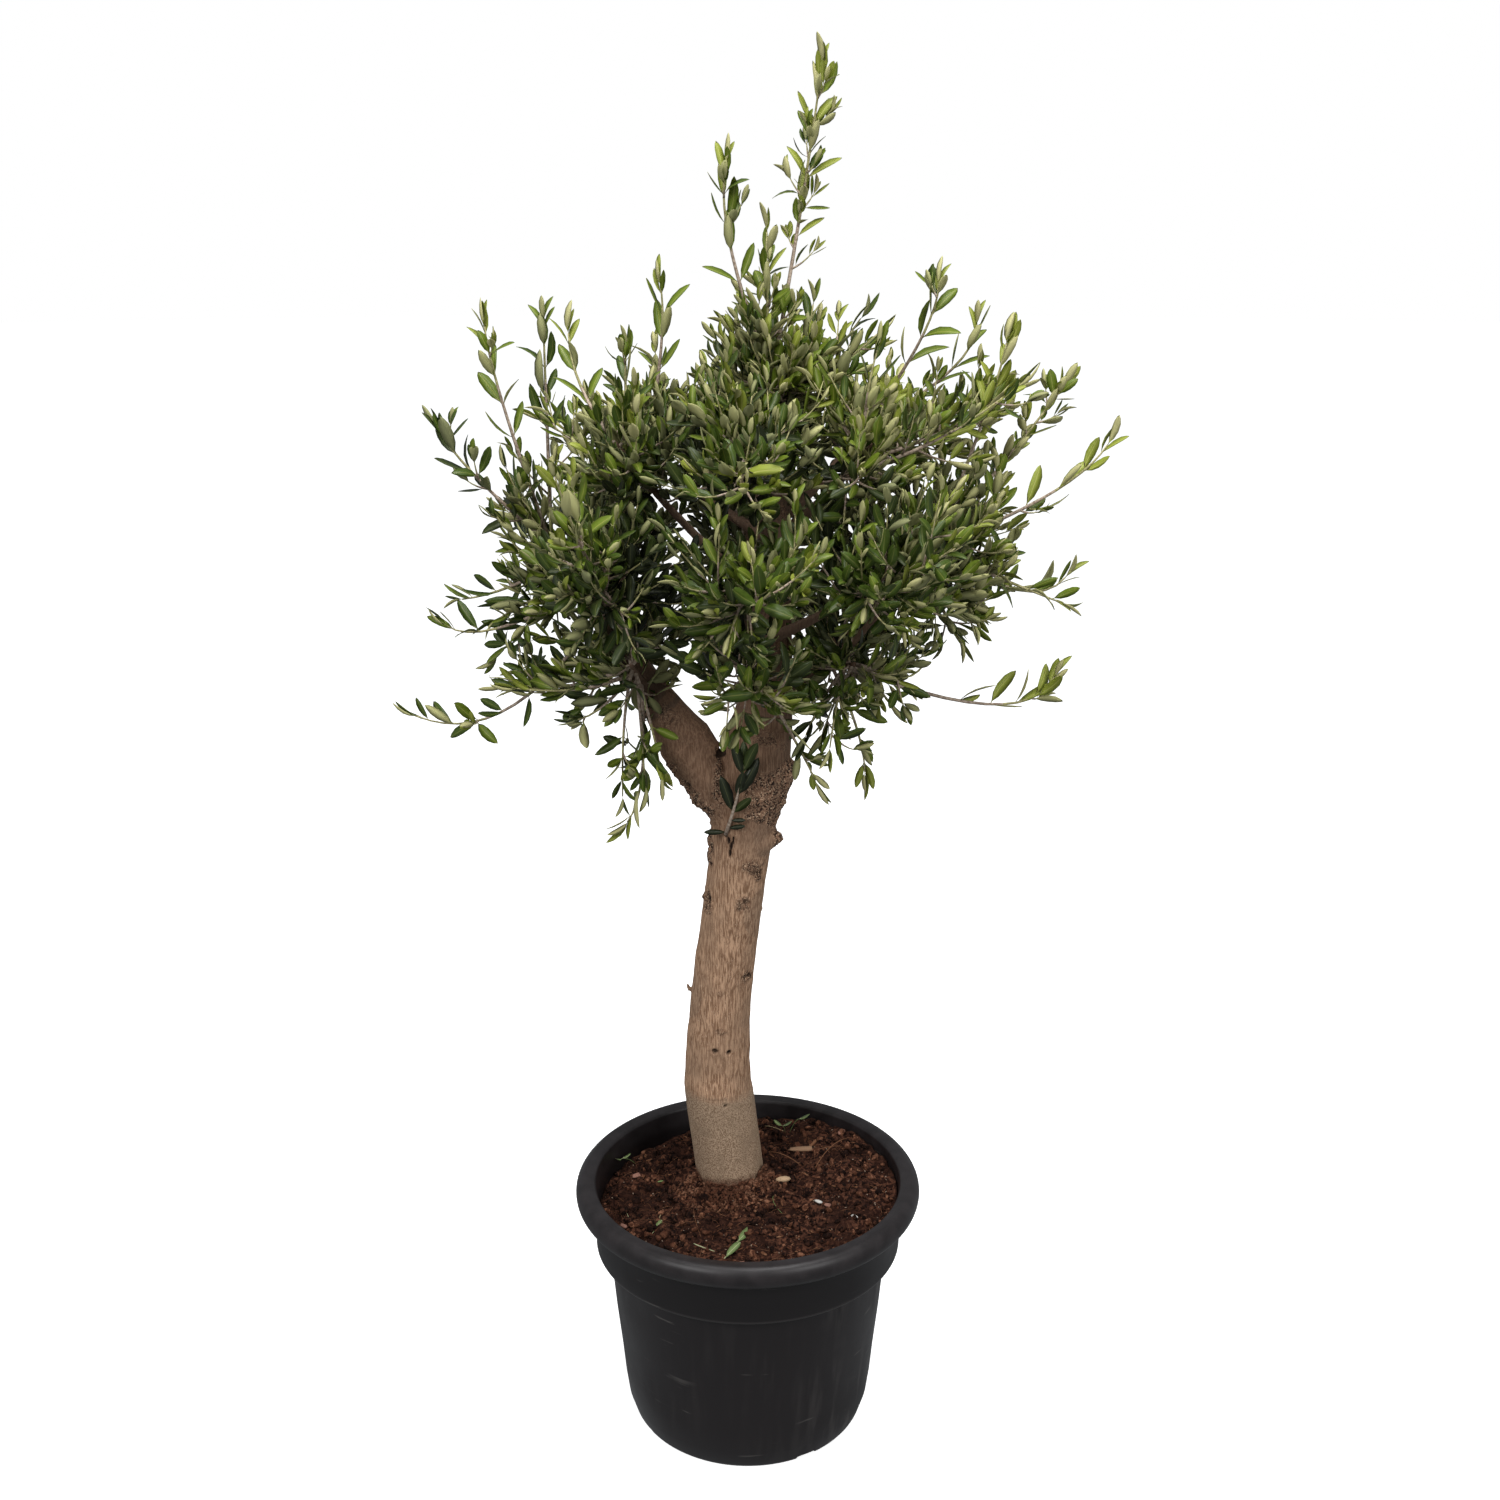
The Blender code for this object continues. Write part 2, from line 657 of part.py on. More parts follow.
def grow_leaf(bm, face, direction, towards, corners, tip):
    """Draw a face of the twig out into a leaf: flat and wide in its middle, pointed at its tip."""
    side, normal = leaf_frame(direction, towards)
    face = bmesh.ops.extrude_discrete_faces(bm, faces=[face])["faces"][0]
    centre = face.calc_center_median()
    if len(face.verts) == 4:
        by_height = sorted(face.verts, key=lambda vertex: (vertex.co - centre).dot(towards))
        for up, pair in ((-1, by_height[:2]), (1, by_height[2:])):
            pair.sort(key=lambda vertex: (vertex.co - centre).dot(side))
            pair[0].co = corners[(-1, up)]
            pair[1].co = corners[(1, up)]
    else:
        left, ridge, right = sorted(face.verts, key=lambda vertex: (vertex.co - centre).dot(side))
        up = 1 if (ridge.co - centre).dot(normal) > 0 else -1
        left.co = corners[(-1, -up)]
        ridge.co = (corners[(-1, up)] + corners[(1, up)]) / 2
        right.co = corners[(1, -up)]
    top = bmesh.ops.poke(bm, faces=[face])["verts"][0]
    top.co = tip


def pair_directions(shoot):
    """Which way each leaf grows, and the length that it has: crossed pairs, from foot to tip."""
    rng = random.Random(shoot.name + " leaves")
    turn = rng.uniform(0.0, math.pi)
    for index, share in enumerate(shoot.joints()):
        along = shoot.direction(share)
        across = along.orthogonal().normalized()
        across.rotate(Matrix.Rotation(turn + index * math.pi / 2, 3, along))
        pair = []
        for side in (1.0, -1.0):
            spread = LEAF_SPREAD + rng.uniform(-LEAF_SPREAD_RANGE, LEAF_SPREAD_RANGE)
            outward = across * side
            direction = along * math.cos(spread) + outward * math.sin(spread)
            pair.append((outward, direction, LEAF_LENGTH * rng.uniform(*LEAF_LENGTH_RANGE)))
        yield share, along, pair


def in_own_space(points, mass, places):
    return all(in_space(point, mass, places) for point in points)


def build_mass(mass, stem, tips, places, limb_trees, stem_trees, leaf):
    """One mass of foliage: stem, shoots and leaves, fused into one solid."""
    obstacles = limb_trees + [tree for name, tree in stem_trees.items() if name != mass]
    shoots = []
    for name, tip in tips:
        shoot = Shoot(stem, name, tip)
        bm, joints, end_face = shoot.twig()
        tree = BVHTree.FromBMesh(bm)
        inside = in_own_space([vertex.co for vertex in bm.verts], mass, places)
        if inside and not any(tree.overlap(obstacle) for obstacle in obstacles):
            shoots.append((shoot, bm, joints, end_face, tree))
        else:
            bm.free()
    leaf_trees = []
    operands = []
    for shoot, bm, joints, end_face, twig_tree in shoots:
        others = obstacles + [entry[4] for entry in shoots]
        for (share, along, pair), faces in zip(pair_directions(shoot), joints):
            foot = shoot.point(share)
            faces = list(faces)
            for outward, direction, length in pair:
                for size in LEAF_SIZES_TRIED:
                    corners, tip = leaf_corners(foot, direction, along, length * size)
                    tree = leaf_tree(foot + direction * LEAF_FREE_FROM, corners, tip)
                    if leaf_fits(tree, [*corners.values(), tip], mass, places, others + leaf_trees):
                        face = max(faces, key=lambda side: facing(side, shoot, share, outward))
                        faces.remove(face)
                        grow_leaf(bm, face, direction, along, corners, tip)
                        leaf_trees.append(tree)
                        break
        add_end_leaf(bm, shoot, end_face, mass, places, others, leaf_trees)
        operands.append(add_object("shoot", bm, leaf))
    item = add_object("foliage_" + mass, stem.solid(), leaf)
    combine(item, operands, "UNION", "MANIFOLD")


def leaf_fits(tree, points, mass, places, others):
    """Whether a leaf stays in its mass's space and touches no limb, twig or leaf."""
    return in_own_space(points, mass, places) and not any(tree.overlap(other) for other in others)


def facing(face, shoot, share, outward):
    """How far a side face of the twig looks outward."""
    return (face.calc_center_median() - shoot.point(share)).dot(outward)


def add_end_leaf(bm, shoot, end_face, mass, places, others, leaf_trees):
    foot = shoot.point(shoot.end)
    direction = (shoot.tip - foot).normalized()
    towards = direction.cross(END_LEAF_FACES).normalized()
    corners, tip = leaf_corners(foot, direction, towards, (shoot.tip - foot).length)
    tree = leaf_tree(foot + direction * LEAF_FREE_FROM, corners, tip)
    if leaf_fits(tree, [*corners.values(), tip], mass, places, others + leaf_trees):
        grow_leaf(bm, end_face, direction, towards, corners, tip)
        leaf_trees.append(tree)


def build_sprout(leaf):
    """The young shoot on the trunk, cut clear of the bark."""
    control = (SPROUT_FOOT + SPROUT_TIP) / 2 + SPROUT_BOW
    points = [curve_point(SPROUT_FOOT, control, SPROUT_TIP, share) for share in SPROUT_SHARES]
    bm, stretches, end_face = limb_with_sides(points, SPROUT_RADII, 3)
    for index, turn in SPROUT_PAIRS:
        foot = (points[index] + points[index + 1]) / 2
        along = (points[index + 1] - points[index]).normalized()
        across = along.orthogonal().normalized()
        across.rotate(Matrix.Rotation(turn, 3, along))
        faces = list(stretches[index])
        for side in (1.0, -1.0):
            direction = (along + across * side * SPROUT_LEAF_SPREAD).normalized()
            corners, tip = leaf_corners(foot, direction, along, SPROUT_LEAF_LENGTH)
            face = max(faces, key=lambda one: (one.calc_center_median() - foot).dot(across * side))
            faces.remove(face)
            grow_leaf(bm, face, direction, along, corners, tip)
    direction = (points[-1] - points[-2]).normalized()
    towards = direction.orthogonal().normalized()
    corners, tip = leaf_corners(points[-1], direction, towards, SPROUT_LEAF_LENGTH)
    grow_leaf(bm, end_face, direction, towards, corners, tip)
    item = add_object("foliage_sprout", bm, leaf)
    cut_clear(item, trunk_parts(GAP), leaf)


def cut_clear(item, grown, material):
    """Cut a solid back to the grown skin of what carries it."""
    cutters = [add_object("cutter", bm, material) for bm in grown]
    combine(item, cutters, "DIFFERENCE", "EXACT")


def main():
    clear_scene()
    pot = make_material("pot")
    soil = make_material("soil")
    bark = make_material("bark")
    leaf = make_material("leaf")
    build_pot(pot)
    build_soil(soil)

    parts = [add_object("trunk", bm, bark) for bm in trunk_parts()]
    combine(parts[0], parts[1:], "UNION", "EXACT")
    smooth_shading(parts[0], LIMB_SHARP_EDGE)

    places = hearts()
    limbs, stems = build_limbs(places)
    for name, one in limbs.items():
        item = add_object(name, one.solid(), bark)
        if name in SIDE_BOUGHS:
            cut_clear(item, [limbs["bough_middle"].solid(GAP)] + trunk_parts(GAP), bark)
        elif name.startswith("branch_"):
            boughs = [limbs[bough].solid(GAP) for bough in limbs if bough.startswith("bough_")]
            cut_clear(item, boughs + trunk_parts(GAP), bark)
        smooth_shading(item, LIMB_SHARP_EDGE)

    limb_trees = [BVHTree.FromBMesh(one.solid(CLEARANCE)) for one in limbs.values()]
    limb_trees += [BVHTree.FromBMesh(bm) for bm in trunk_parts(CLEARANCE)]
    stem_trees = {name: BVHTree.FromBMesh(stem.solid(CLEARANCE)) for name, stem in stems.items()}
    tips = shoot_tips(places)
    for mass, stem in stems.items():
        build_mass(mass, stem, tips[mass], places, limb_trees, stem_trees, leaf)
    build_sprout(leaf)


main()
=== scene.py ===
"""Looks of the potted standard olive tree: bark, crown, nursery container and soil.

Metres, +Z up, with the front at -Y. The boughs, the stems and the shoots follow the same rule as
the solids. Finer twigs leave the shoots here, and leaves of natural size sit on them in pairs.
"""

import json
import math
import random

import bmesh
import bpy
import numpy as np
from mathutils import Matrix, Vector, noise
from mathutils.kdtree import KDTree

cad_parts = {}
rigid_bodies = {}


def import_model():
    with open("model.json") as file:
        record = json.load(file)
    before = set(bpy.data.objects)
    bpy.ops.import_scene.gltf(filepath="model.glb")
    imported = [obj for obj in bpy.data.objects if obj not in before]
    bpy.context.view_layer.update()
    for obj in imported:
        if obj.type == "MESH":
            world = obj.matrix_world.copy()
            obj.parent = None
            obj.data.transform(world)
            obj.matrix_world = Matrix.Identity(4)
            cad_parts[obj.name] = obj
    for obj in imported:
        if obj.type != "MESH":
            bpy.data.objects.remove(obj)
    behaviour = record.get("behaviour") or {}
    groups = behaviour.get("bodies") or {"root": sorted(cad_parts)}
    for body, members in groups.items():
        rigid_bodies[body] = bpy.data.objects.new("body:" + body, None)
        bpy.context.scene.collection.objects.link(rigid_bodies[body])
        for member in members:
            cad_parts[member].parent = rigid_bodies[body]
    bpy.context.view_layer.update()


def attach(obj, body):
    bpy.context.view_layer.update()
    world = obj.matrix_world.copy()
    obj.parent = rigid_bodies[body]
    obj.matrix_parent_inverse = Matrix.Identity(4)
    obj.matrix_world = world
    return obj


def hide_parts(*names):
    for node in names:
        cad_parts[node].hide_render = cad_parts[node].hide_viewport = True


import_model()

# Camera: a little above the middle of the crown, looking down on the pot
CAMERA_PLACE = (0.003, -2.02, 1.53)
CAMERA_PITCH = 16.8
CAMERA_LENS = 41.6
CAMERA_SENSOR = 36.0

# Studio: the floor glows white, the sky fills weakly and soft lamps light from above
FLOOR_GLOW = 0.8
SKY_FILL = 0.3
FLOOR_RADIUS = 30.0
WHITE = (1.0, 1.0, 1.0, 1.0)
# Lamps: place, the height they look at, size and power
LAMPS = (
    ("lamp_over", (0.2, -0.5, 3.9), 1.0, 2.6, 125.0),
    ("lamp_front_left", (-2.2, -3.0, 3.0), 0.8, 1.6, 78.0),
    ("lamp_front_right", (2.4, -2.6, 2.6), 0.8, 1.6, 52.0),
)

# Nursery container
RIM_RADIUS = 0.225
COLLAR_RADIUS = 0.2
COLLAR_BOTTOM = 0.25
BODY_TOP_RADIUS = 0.1835
FOOT_RADIUS = 0.147
WALL = 0.0035
POT_SEGMENTS = 144
DRAIN_SLOTS = 4
FIRST_SLOT_BEARING = -60.0
SLOT_SIZE = (0.036, 0.03, 0.018)

# Soil
SOIL_LEVEL = 0.305
SOIL_EDGE_LEVEL = 0.298
SOIL_FLAT_RADIUS = 0.115
SOIL_RINGS = 70
SOIL_SEGMENTS = 190
# Its unevenness: height, waves in a metre and the layer of noise that is read
SOIL_WAVES = ((0.0045, 17.0, 3.1), (0.0046, 62.0, 8.3), (0.003, 150.0, 5.7))
SOIL_WALL = [(COLLAR_RADIUS - WALL - 0.0022, COLLAR_BOTTOM + WALL + 0.0006),
             (0.1795, COLLAR_BOTTOM + 0.001), (0.1713, 0.161), (0.157, 0.032), (0.149, 0.013),
             (0.143, 0.0041), (0.0, 0.0041)]
CRUMBS = 2600
SPECKS = 190
FOOT_CRUMBS = 1100
LOOSE_CHIPS = 150
FIBRES = 170

# Trunk and the left arm of its fork: height, x, y and radius at each station
TRUNK_STATIONS = (
    (SOIL_LEVEL - 0.006, -0.0225, 0.0445, 0.0475),
    (0.33, -0.025, 0.0435, 0.045),
    (0.429, -0.0364, 0.038, 0.0451),
    (0.471, -0.0392, 0.035, 0.043),
    (0.574, -0.0348, 0.03, 0.039),
    (0.683, -0.0226, 0.023, 0.0375),
    (0.779, -0.0104, 0.017, 0.038),
    (0.844, -0.002, 0.012, 0.042),
    (0.9, 0.009, 0.008, 0.042),
    (0.955, 0.018, 0.005, 0.0375),
)
FORK_ARM_STATIONS = (
    (0.79, -0.007, 0.012, 0.03),
    (0.845, -0.0205, 0.009, 0.031),
    (0.882, -0.046, 0.005, 0.0325),
    (0.935, -0.078, 0.0, 0.0335),
)
# Stubs of old branches: foot, end and the radius at both
STUBS = (
    ((0.014, 0.002, 0.804), (0.0415, -0.003, 0.809), (0.024, 0.0045)),
    ((0.006, 0.004, 0.838), (0.0505, 0.0, 0.907), (0.03, 0.0155)),
    ((0.01, 0.02, 0.705), (0.0185, 0.016, 0.7065), (0.004, 0.0025)),
    ((-0.078, 0.034, 0.59), (-0.075, 0.034, 0.591), (0.006, 0.003)),
)
STUB_END_RADIUS = 0.022
TRUNK_FOOT = TRUNK_STATIONS[0][1:3]
# The trunk's skin is finer than that of the boughs, which the leaves hide
TRUNK_VOXEL = 0.0017
BOUGH_VOXEL = 0.00245
# Bark relief: the radius from which it is at full depth, and its depths
FULL_RELIEF_RADIUS = 0.036
FIBRE_DEPTH = 0.0005
LUMP_DEPTH = 0.0012
PIT_DEPTH = 0.0038
# Levels on the trunk: its soiled foot, the smooth band above it, and the fork, darkened by painted shade
# of the crown
SOIL_LINE = 0.312
SMOOTH_LEVEL = 0.45
BAND_TOP = (0.452, 0.468)
BAND_LEVEL = 0.47
FORK_PAINTED_SHADE = (0.755, 0.885)
FORK_LEVEL = 0.84

# Crown body and the hearts of its masses
CROWN_CENTRE = Vector((-0.005, 0.0, 1.2))
CROWN_RADII = Vector((0.31, 0.285, 0.22))
CROWN_SQUARENESS = 2.4
COMPASS = ("right", "back_right", "back", "back_left", "left", "front_left", "front", "front_right")
MIDDLE_TIER = (8, 0.225, 1.17, 0.0)
UPPER_TIER = (6, 0.165, 1.3, 30.0)
LOWER_TIER = (6, 0.15, 1.045, 30.0)
TOP_HEART = Vector((0.03, 0.0, 1.375))

# Boughs and branches
FORK_BOUGHS = {
    "bough_left": ("middle_left", (0.0335, 0.012), 0.11),
    "bough_middle": ("top", (0.0375, 0.0085), 0.2),
}
FORK_BOUGH_TAPER = 1.6
SIDE_BOUGHS = {
    "bough_right": (0.08, "middle_right", (0.018, 0.0095)),
    "bough_back": (0.16, "middle_back", (0.0165, 0.009)),
    "bough_front": (0.24, "middle_front", (0.015, 0.0085)),
}
BRANCHES = {
    "middle_back_right": ("bough_back", 0.62),
    "middle_back_left": ("bough_left", 0.7),
    "middle_front_left": ("bough_left", 0.82),
    "middle_front_right": ("bough_front", 0.66),
    "upper_1": ("bough_middle", 0.86),
    "upper_2": ("bough_middle", 0.6),
    "upper_3": ("bough_middle", 0.77),
    "upper_4": ("bough_middle", 0.52),
    "upper_5": ("bough_middle", 0.68),
    "upper_6": ("bough_middle", 0.8),
    "lower_1": ("bough_right", 0.36),
    "lower_2": ("bough_back", 0.46),
    "lower_3": ("bough_left", 0.3),
    "lower_4": ("bough_left", 0.44),
    "lower_5": ("bough_front", 0.48),
    "lower_6": ("bough_right", 0.52),
}
BRANCH_RADII = (0.008, 0.0052)
BOUGH_BARE_SHARE = 0.7
BRANCH_BARE_SHARE = 0.5
BOUGH_RISE = 0.1
STEM_TIP_RADIUS = 0.0035

# Shoots: their tips on the crown body, how they bow, and the long ones by where they end
SHOOT_TIPS = 100
TIP_REACH = (0.9, 1.06)
LOWEST_TIP_SLOPE = -0.86
GOLDEN_ANGLE = math.pi * (3.0 - math.sqrt(5.0))
SHOOT_SAG = 0.16
SHOOT_DROOP_ARCH = 0.14
SHOOT_DROOPS_BELOW = 0.35
SHOOT_SWAY = 0.06
SHOOT_FOOT_RANGE = (0.35, 0.98)
# Long shoots: the tip and, where the way shows, a point halfway and about where it leaves the stems.
# The low left shoot bends up at its end here, short of the solid's tip.
LONG_SHOOTS = {
    "leader": ((0.085, 0.02, 1.728), (0.065, 0.02, 1.58), (0.036, 0.01, 1.375)),
    "second_leader": ((-0.016, -0.03, 1.618), (-0.021, -0.03, 1.521), (-0.02, -0.02, 1.36)),
    "leader_side": ((0.02, 0.03, 1.521),),
    "high_left_a": ((-0.107, 0.05, 1.485), (-0.099, 0.05, 1.415), (-0.09, 0.05, 1.32)),
    "high_left_b": ((-0.13, -0.05, 1.434), (-0.136, -0.05, 1.366), (-0.13, -0.03, 1.29)),
    "high_left_c": ((-0.198, 0.0, 1.448), (-0.197, 0.0, 1.373), (-0.19, 0.0, 1.28)),
    "high_left_d": ((-0.238, 0.06, 1.435), (-0.238, 0.06, 1.357), (-0.22, 0.03, 1.25)),
    "high_left_e": ((-0.294, -0.02, 1.438), (-0.282, -0.02, 1.353), (-0.25, 0.0, 1.25)),
    "arm_left": ((-0.35, -0.04, 1.325), (-0.322, -0.04, 1.272), (-0.25, -0.04, 1.21)),
    "mid_left": ((-0.378, 0.04, 1.098),),
    "low_left": ((-0.366, -0.03, 1.109), (-0.318, -0.03, 1.074), (-0.22, -0.03, 1.1)),
    "long_left": ((-0.438, 0.0, 0.986), (-0.311, 0.0, 0.962), (-0.177, 0.0, 1.039)),
    "curl_left": ((-0.234, -0.06, 0.98), (-0.185, -0.06, 0.981), (-0.14, -0.06, 1.03)),
    "droop_left": ((-0.163, -0.05, 0.832), (-0.129, -0.05, 0.885), (-0.097, -0.05, 0.972)),
    "high_right_a": ((0.09, -0.06, 1.45),),
    "high_right_b": ((0.153, -0.08, 1.435), (0.135, -0.08, 1.369), (0.11, -0.07, 1.3)),
    "high_right_c": ((0.213, 0.0, 1.489), (0.202, 0.0, 1.418), (0.18, 0.0, 1.32)),
    "high_right_d": ((0.259, 0.06, 1.449), (0.25, 0.06, 1.38), (0.22, 0.05, 1.28)),
    "high_right_e": ((0.292, -0.02, 1.419), (0.276, -0.02, 1.342), (0.23, 0.0, 1.24)),
    "high_right_f": ((0.374, 0.04, 1.359), (0.332, 0.04, 1.301), (0.25, 0.03, 1.2)),
    "arm_right": ((0.417, -0.03, 1.314), (0.364, -0.03, 1.247), (0.27, -0.03, 1.18)),
    "mid_right": ((0.394, 0.03, 1.167), (0.346, 0.03, 1.11), (0.26, 0.03, 1.13)),
    "low_right": ((0.378, -0.05, 1.108), (0.326, -0.05, 1.128), (0.25, -0.03, 1.14)),
    "long_right": ((0.374, 0.0, 1.045), (0.311, 0.0, 0.978), (0.16, 0.0, 1.02)),
    "hook_right": ((0.189, -0.02, 0.948), (0.158, -0.02, 1.001), (0.12, -0.02, 1.05)),
    "droop_right": ((0.142, 0.02, 0.856), (0.138, 0.02, 0.927), (0.1, 0.02, 1.0)),
    "droop_middle": ((0.088, -0.07, 0.883), (0.062, -0.07, 0.941), (0.03, -0.06, 1.0)),
    "low_front": ((0.02, -0.12, 0.96),),
    "far_back_left": ((-0.18, 0.33, 1.3),),
    "far_back": ((0.06, 0.365, 1.19),),
    "far_back_right": ((0.21, 0.29, 1.37),),
    "near_front_left": ((-0.2, -0.31, 1.33),),
    "near_front": ((0.04, -0.35, 1.21),),
    "near_front_right": ((0.23, -0.28, 1.24),),
}
# Finer shoots that fill the crown where it is dense near its edge
FILL_TIPS = (
    (-0.27, -0.04, 1.005), (-0.12, -0.06, 0.87),
    (-0.15, -0.04, 0.85), (-0.098, -0.065, 0.885), (-0.305, -0.03, 1.01), (-0.312, -0.02, 1.075),
    (-0.29, -0.07, 1.02), (-0.285, 0.02, 1.0), (-0.315, 0.0, 1.02), (-0.29, 0.06, 1.005),
    (0.277, -0.03, 1.078), (0.285, 0.02, 1.07), (0.27, -0.08, 1.08),
    (0.312, -0.02, 1.362), (0.302, 0.03, 1.325), (0.33, 0.02, 1.36), (0.318, -0.06, 1.375),
    (-0.285, -0.02, 1.285), (-0.262, 0.03, 1.325), (-0.235, -0.04, 1.34),
    (0.022, -0.01, 1.55), (0.082, -0.05, 0.935), (0.06, -0.08, 0.94), (0.092, -0.12, 0.935),
    (0.141, 0.0, 1.45), (0.3, 0.01, 1.375), (0.305, 0.01, 1.25), (0.295, -0.05, 1.245),
    (0.18, 0.0, 0.985), (0.2, -0.04, 1.0), (0.078, 0.01, 1.47), (0.304, -0.04, 1.144),
    (0.165, 0.0, 1.43), (0.258, -0.02, 1.044),
)
# Shoots of the even spread that the tree lacks where its crown is open
MISSING_SHOOTS = (46, 51, 86, 88, 89)
FILL_TWIG_GAP = 0.4
# Fine shoots that end below this level are bare over their first half
BARE_DROOP_LEVEL = 0.95
INNER_TIPS = 96
INNER_REACH = (0.42, 0.8)
# How much shorter shoots are at the crown's upper corners, on its left and on its right side
SHOULDER_TRIM = 0.42
LEFT_TRIM = 0.17
RIGHT_TRIM = 0.07

# Kinds of shoot: how far short of its tip the wood ends, in leaf lengths, the share where its leaves
# start, how far apart their pairs stand and how many side twigs it has, both against the usual
SHOOT_KINDS = {"long": (0.95, 0.38, 1.75, 0.86), "fine": (0.45, 0.45, 1.15, 0.88),
               "usual": (0.95, 0.45, 1.15, 0.88)}
BARE_DROOP_SHARE = 0.6

# Twigs and leaves
SHOOT_RADII = (0.0026, 0.0009)
TWIG_RADII = (0.0015, 0.0006)
TWIG_SPACING = 0.021
TWIG_LENGTHS = (0.045, 0.105)
PAIR_SPACING = 0.021
LEAF_LENGTH = 0.044
SHOOT_LEAF_SPREAD = math.radians(38.0)
TWIG_LEAF_SPREAD = math.radians(46.0)
TWIG_SINK = 0.01
LOST_LEAVES = 0.06
# How far out the free part of a shoot starts, and how far out a side twig may end
CROWN_EDGE = 1.02
FURTHEST_TWIG = 1.1
FULL_TURN = 6.28
# Share of side twigs that are missing on the free part of a shoot: the usual one, and others
TWIG_GAP = 0.84
SIDE_TWIG_GAPS = {"leader": 0.15, "second_leader": 0.8, "leader_side": 0.2, "high_right_f": 0.15,
                  "mid_right": 0.95, "low_right": 0.95, "fill_1": 0.75, "fill_2": 0.75, "fill_3": 0.75,
                  "fill_21": 0.7, "fill_22": 0.7, "fill_23": 0.7}
# How much further apart the pairs of leaves stand on the long shoots, where it isn't the usual
LONG_PAIR_GAPS = {"leader": 1.55, "second_leader": 1.6, "leader_side": 1.25, "high_right_a": 1.25}
# How far leaves turn up, on an upright twig and in addition on a level one
LEAF_LIFT = (0.12, 0.5)
UP = Vector((0.0, 0.0, 1.0))
# The side from which most light comes, to which leaves turn
BRIGHT_SIDE = Vector((0.0, -1.0, 0.0))


def circle_section(sides):
    """A round section of radius 1."""
    turns = [2 * math.pi * index / sides for index in range(sides)]
    return [Vector((math.cos(turn), math.sin(turn), 0.0)) for turn in turns]


def drawn_out(section, places):
    """A closed body: a flat section extruded from place to place."""
    bm = bmesh.new()
    face = bm.faces.new([bm.verts.new(places[0] @ point) for point in section])
    rings = []
    for index in range(1, len(places)):
        if index == 1:
            made = bmesh.ops.extrude_face_region(bm, geom=[face])["geom"]
            face = next(part for part in made if isinstance(part, bmesh.types.BMFace))
        else:
            face = bmesh.ops.extrude_discrete_faces(bm, faces=[face])["faces"][0]
        step = places[index] @ places[index - 1].inverted()
        bmesh.ops.transform(bm, matrix=step, verts=face.verts)
        rings.append([side for edge in face.edges for side in edge.link_faces if side is not face])
    bmesh.ops.recalc_face_normals(bm, faces=bm.faces)
    return bm, rings


def limb_places(points, radii):
    """A place for each ring of a limb, square to its way and turned as little as possible."""
    last = len(points) - 1
    ways = [(points[min(index + 1, last)] - points[max(index - 1, 0)]).normalized()
            for index in range(last + 1)]
    turn = UP.rotation_difference(ways[0])
    places = []
    for index, (point, radius) in enumerate(zip(points, radii)):
        if index:
            turn = ways[index - 1].rotation_difference(ways[index]) @ turn
        places.append(Matrix.LocRotScale(point, turn, Vector((radius, radius, radius))))
    return places


def in_scene(name, data):
    """A new object of the scene that shows this data."""
    item = bpy.data.objects.new(name, data)
    bpy.context.scene.collection.objects.link(item)
    return item


def mesh_object(name, bm, materials=()):
    mesh = bpy.data.meshes.new(name)
    bm.to_mesh(mesh)
    bm.free()
    for material in materials:
        mesh.materials.append(material)
    return in_scene(name, mesh)


def apply_modifiers(item):
    """Put a piece's modifiers into its mesh."""
    evaluated = item.evaluated_get(bpy.context.evaluated_depsgraph_get())
    mesh = bpy.data.meshes.new_from_object(evaluated)
    item.modifiers.clear()
    old = item.data
    item.data = mesh
    bpy.data.meshes.remove(old)


def finish_piece(item, nodes=()):
    """Name what a piece rides on and hide the solids it stands for."""
    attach(item, "root")
    if nodes:
        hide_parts(*nodes)


class Shape:
    """A small closed body as arrays, with a kind for each face, ready to be copied."""

    def __init__(self, bm, kinds=lambda face: 0):
        bm.verts.index_update()
        self.points = np.array([vertex.co for vertex in bm.verts])
        self.corners = np.array([vertex.index for face in bm.faces for vertex in face.verts])
        self.sizes = np.array([len(face.verts) for face in bm.faces])
        self.kinds = np.array([kinds(face) for face in bm.faces])
        bm.free()


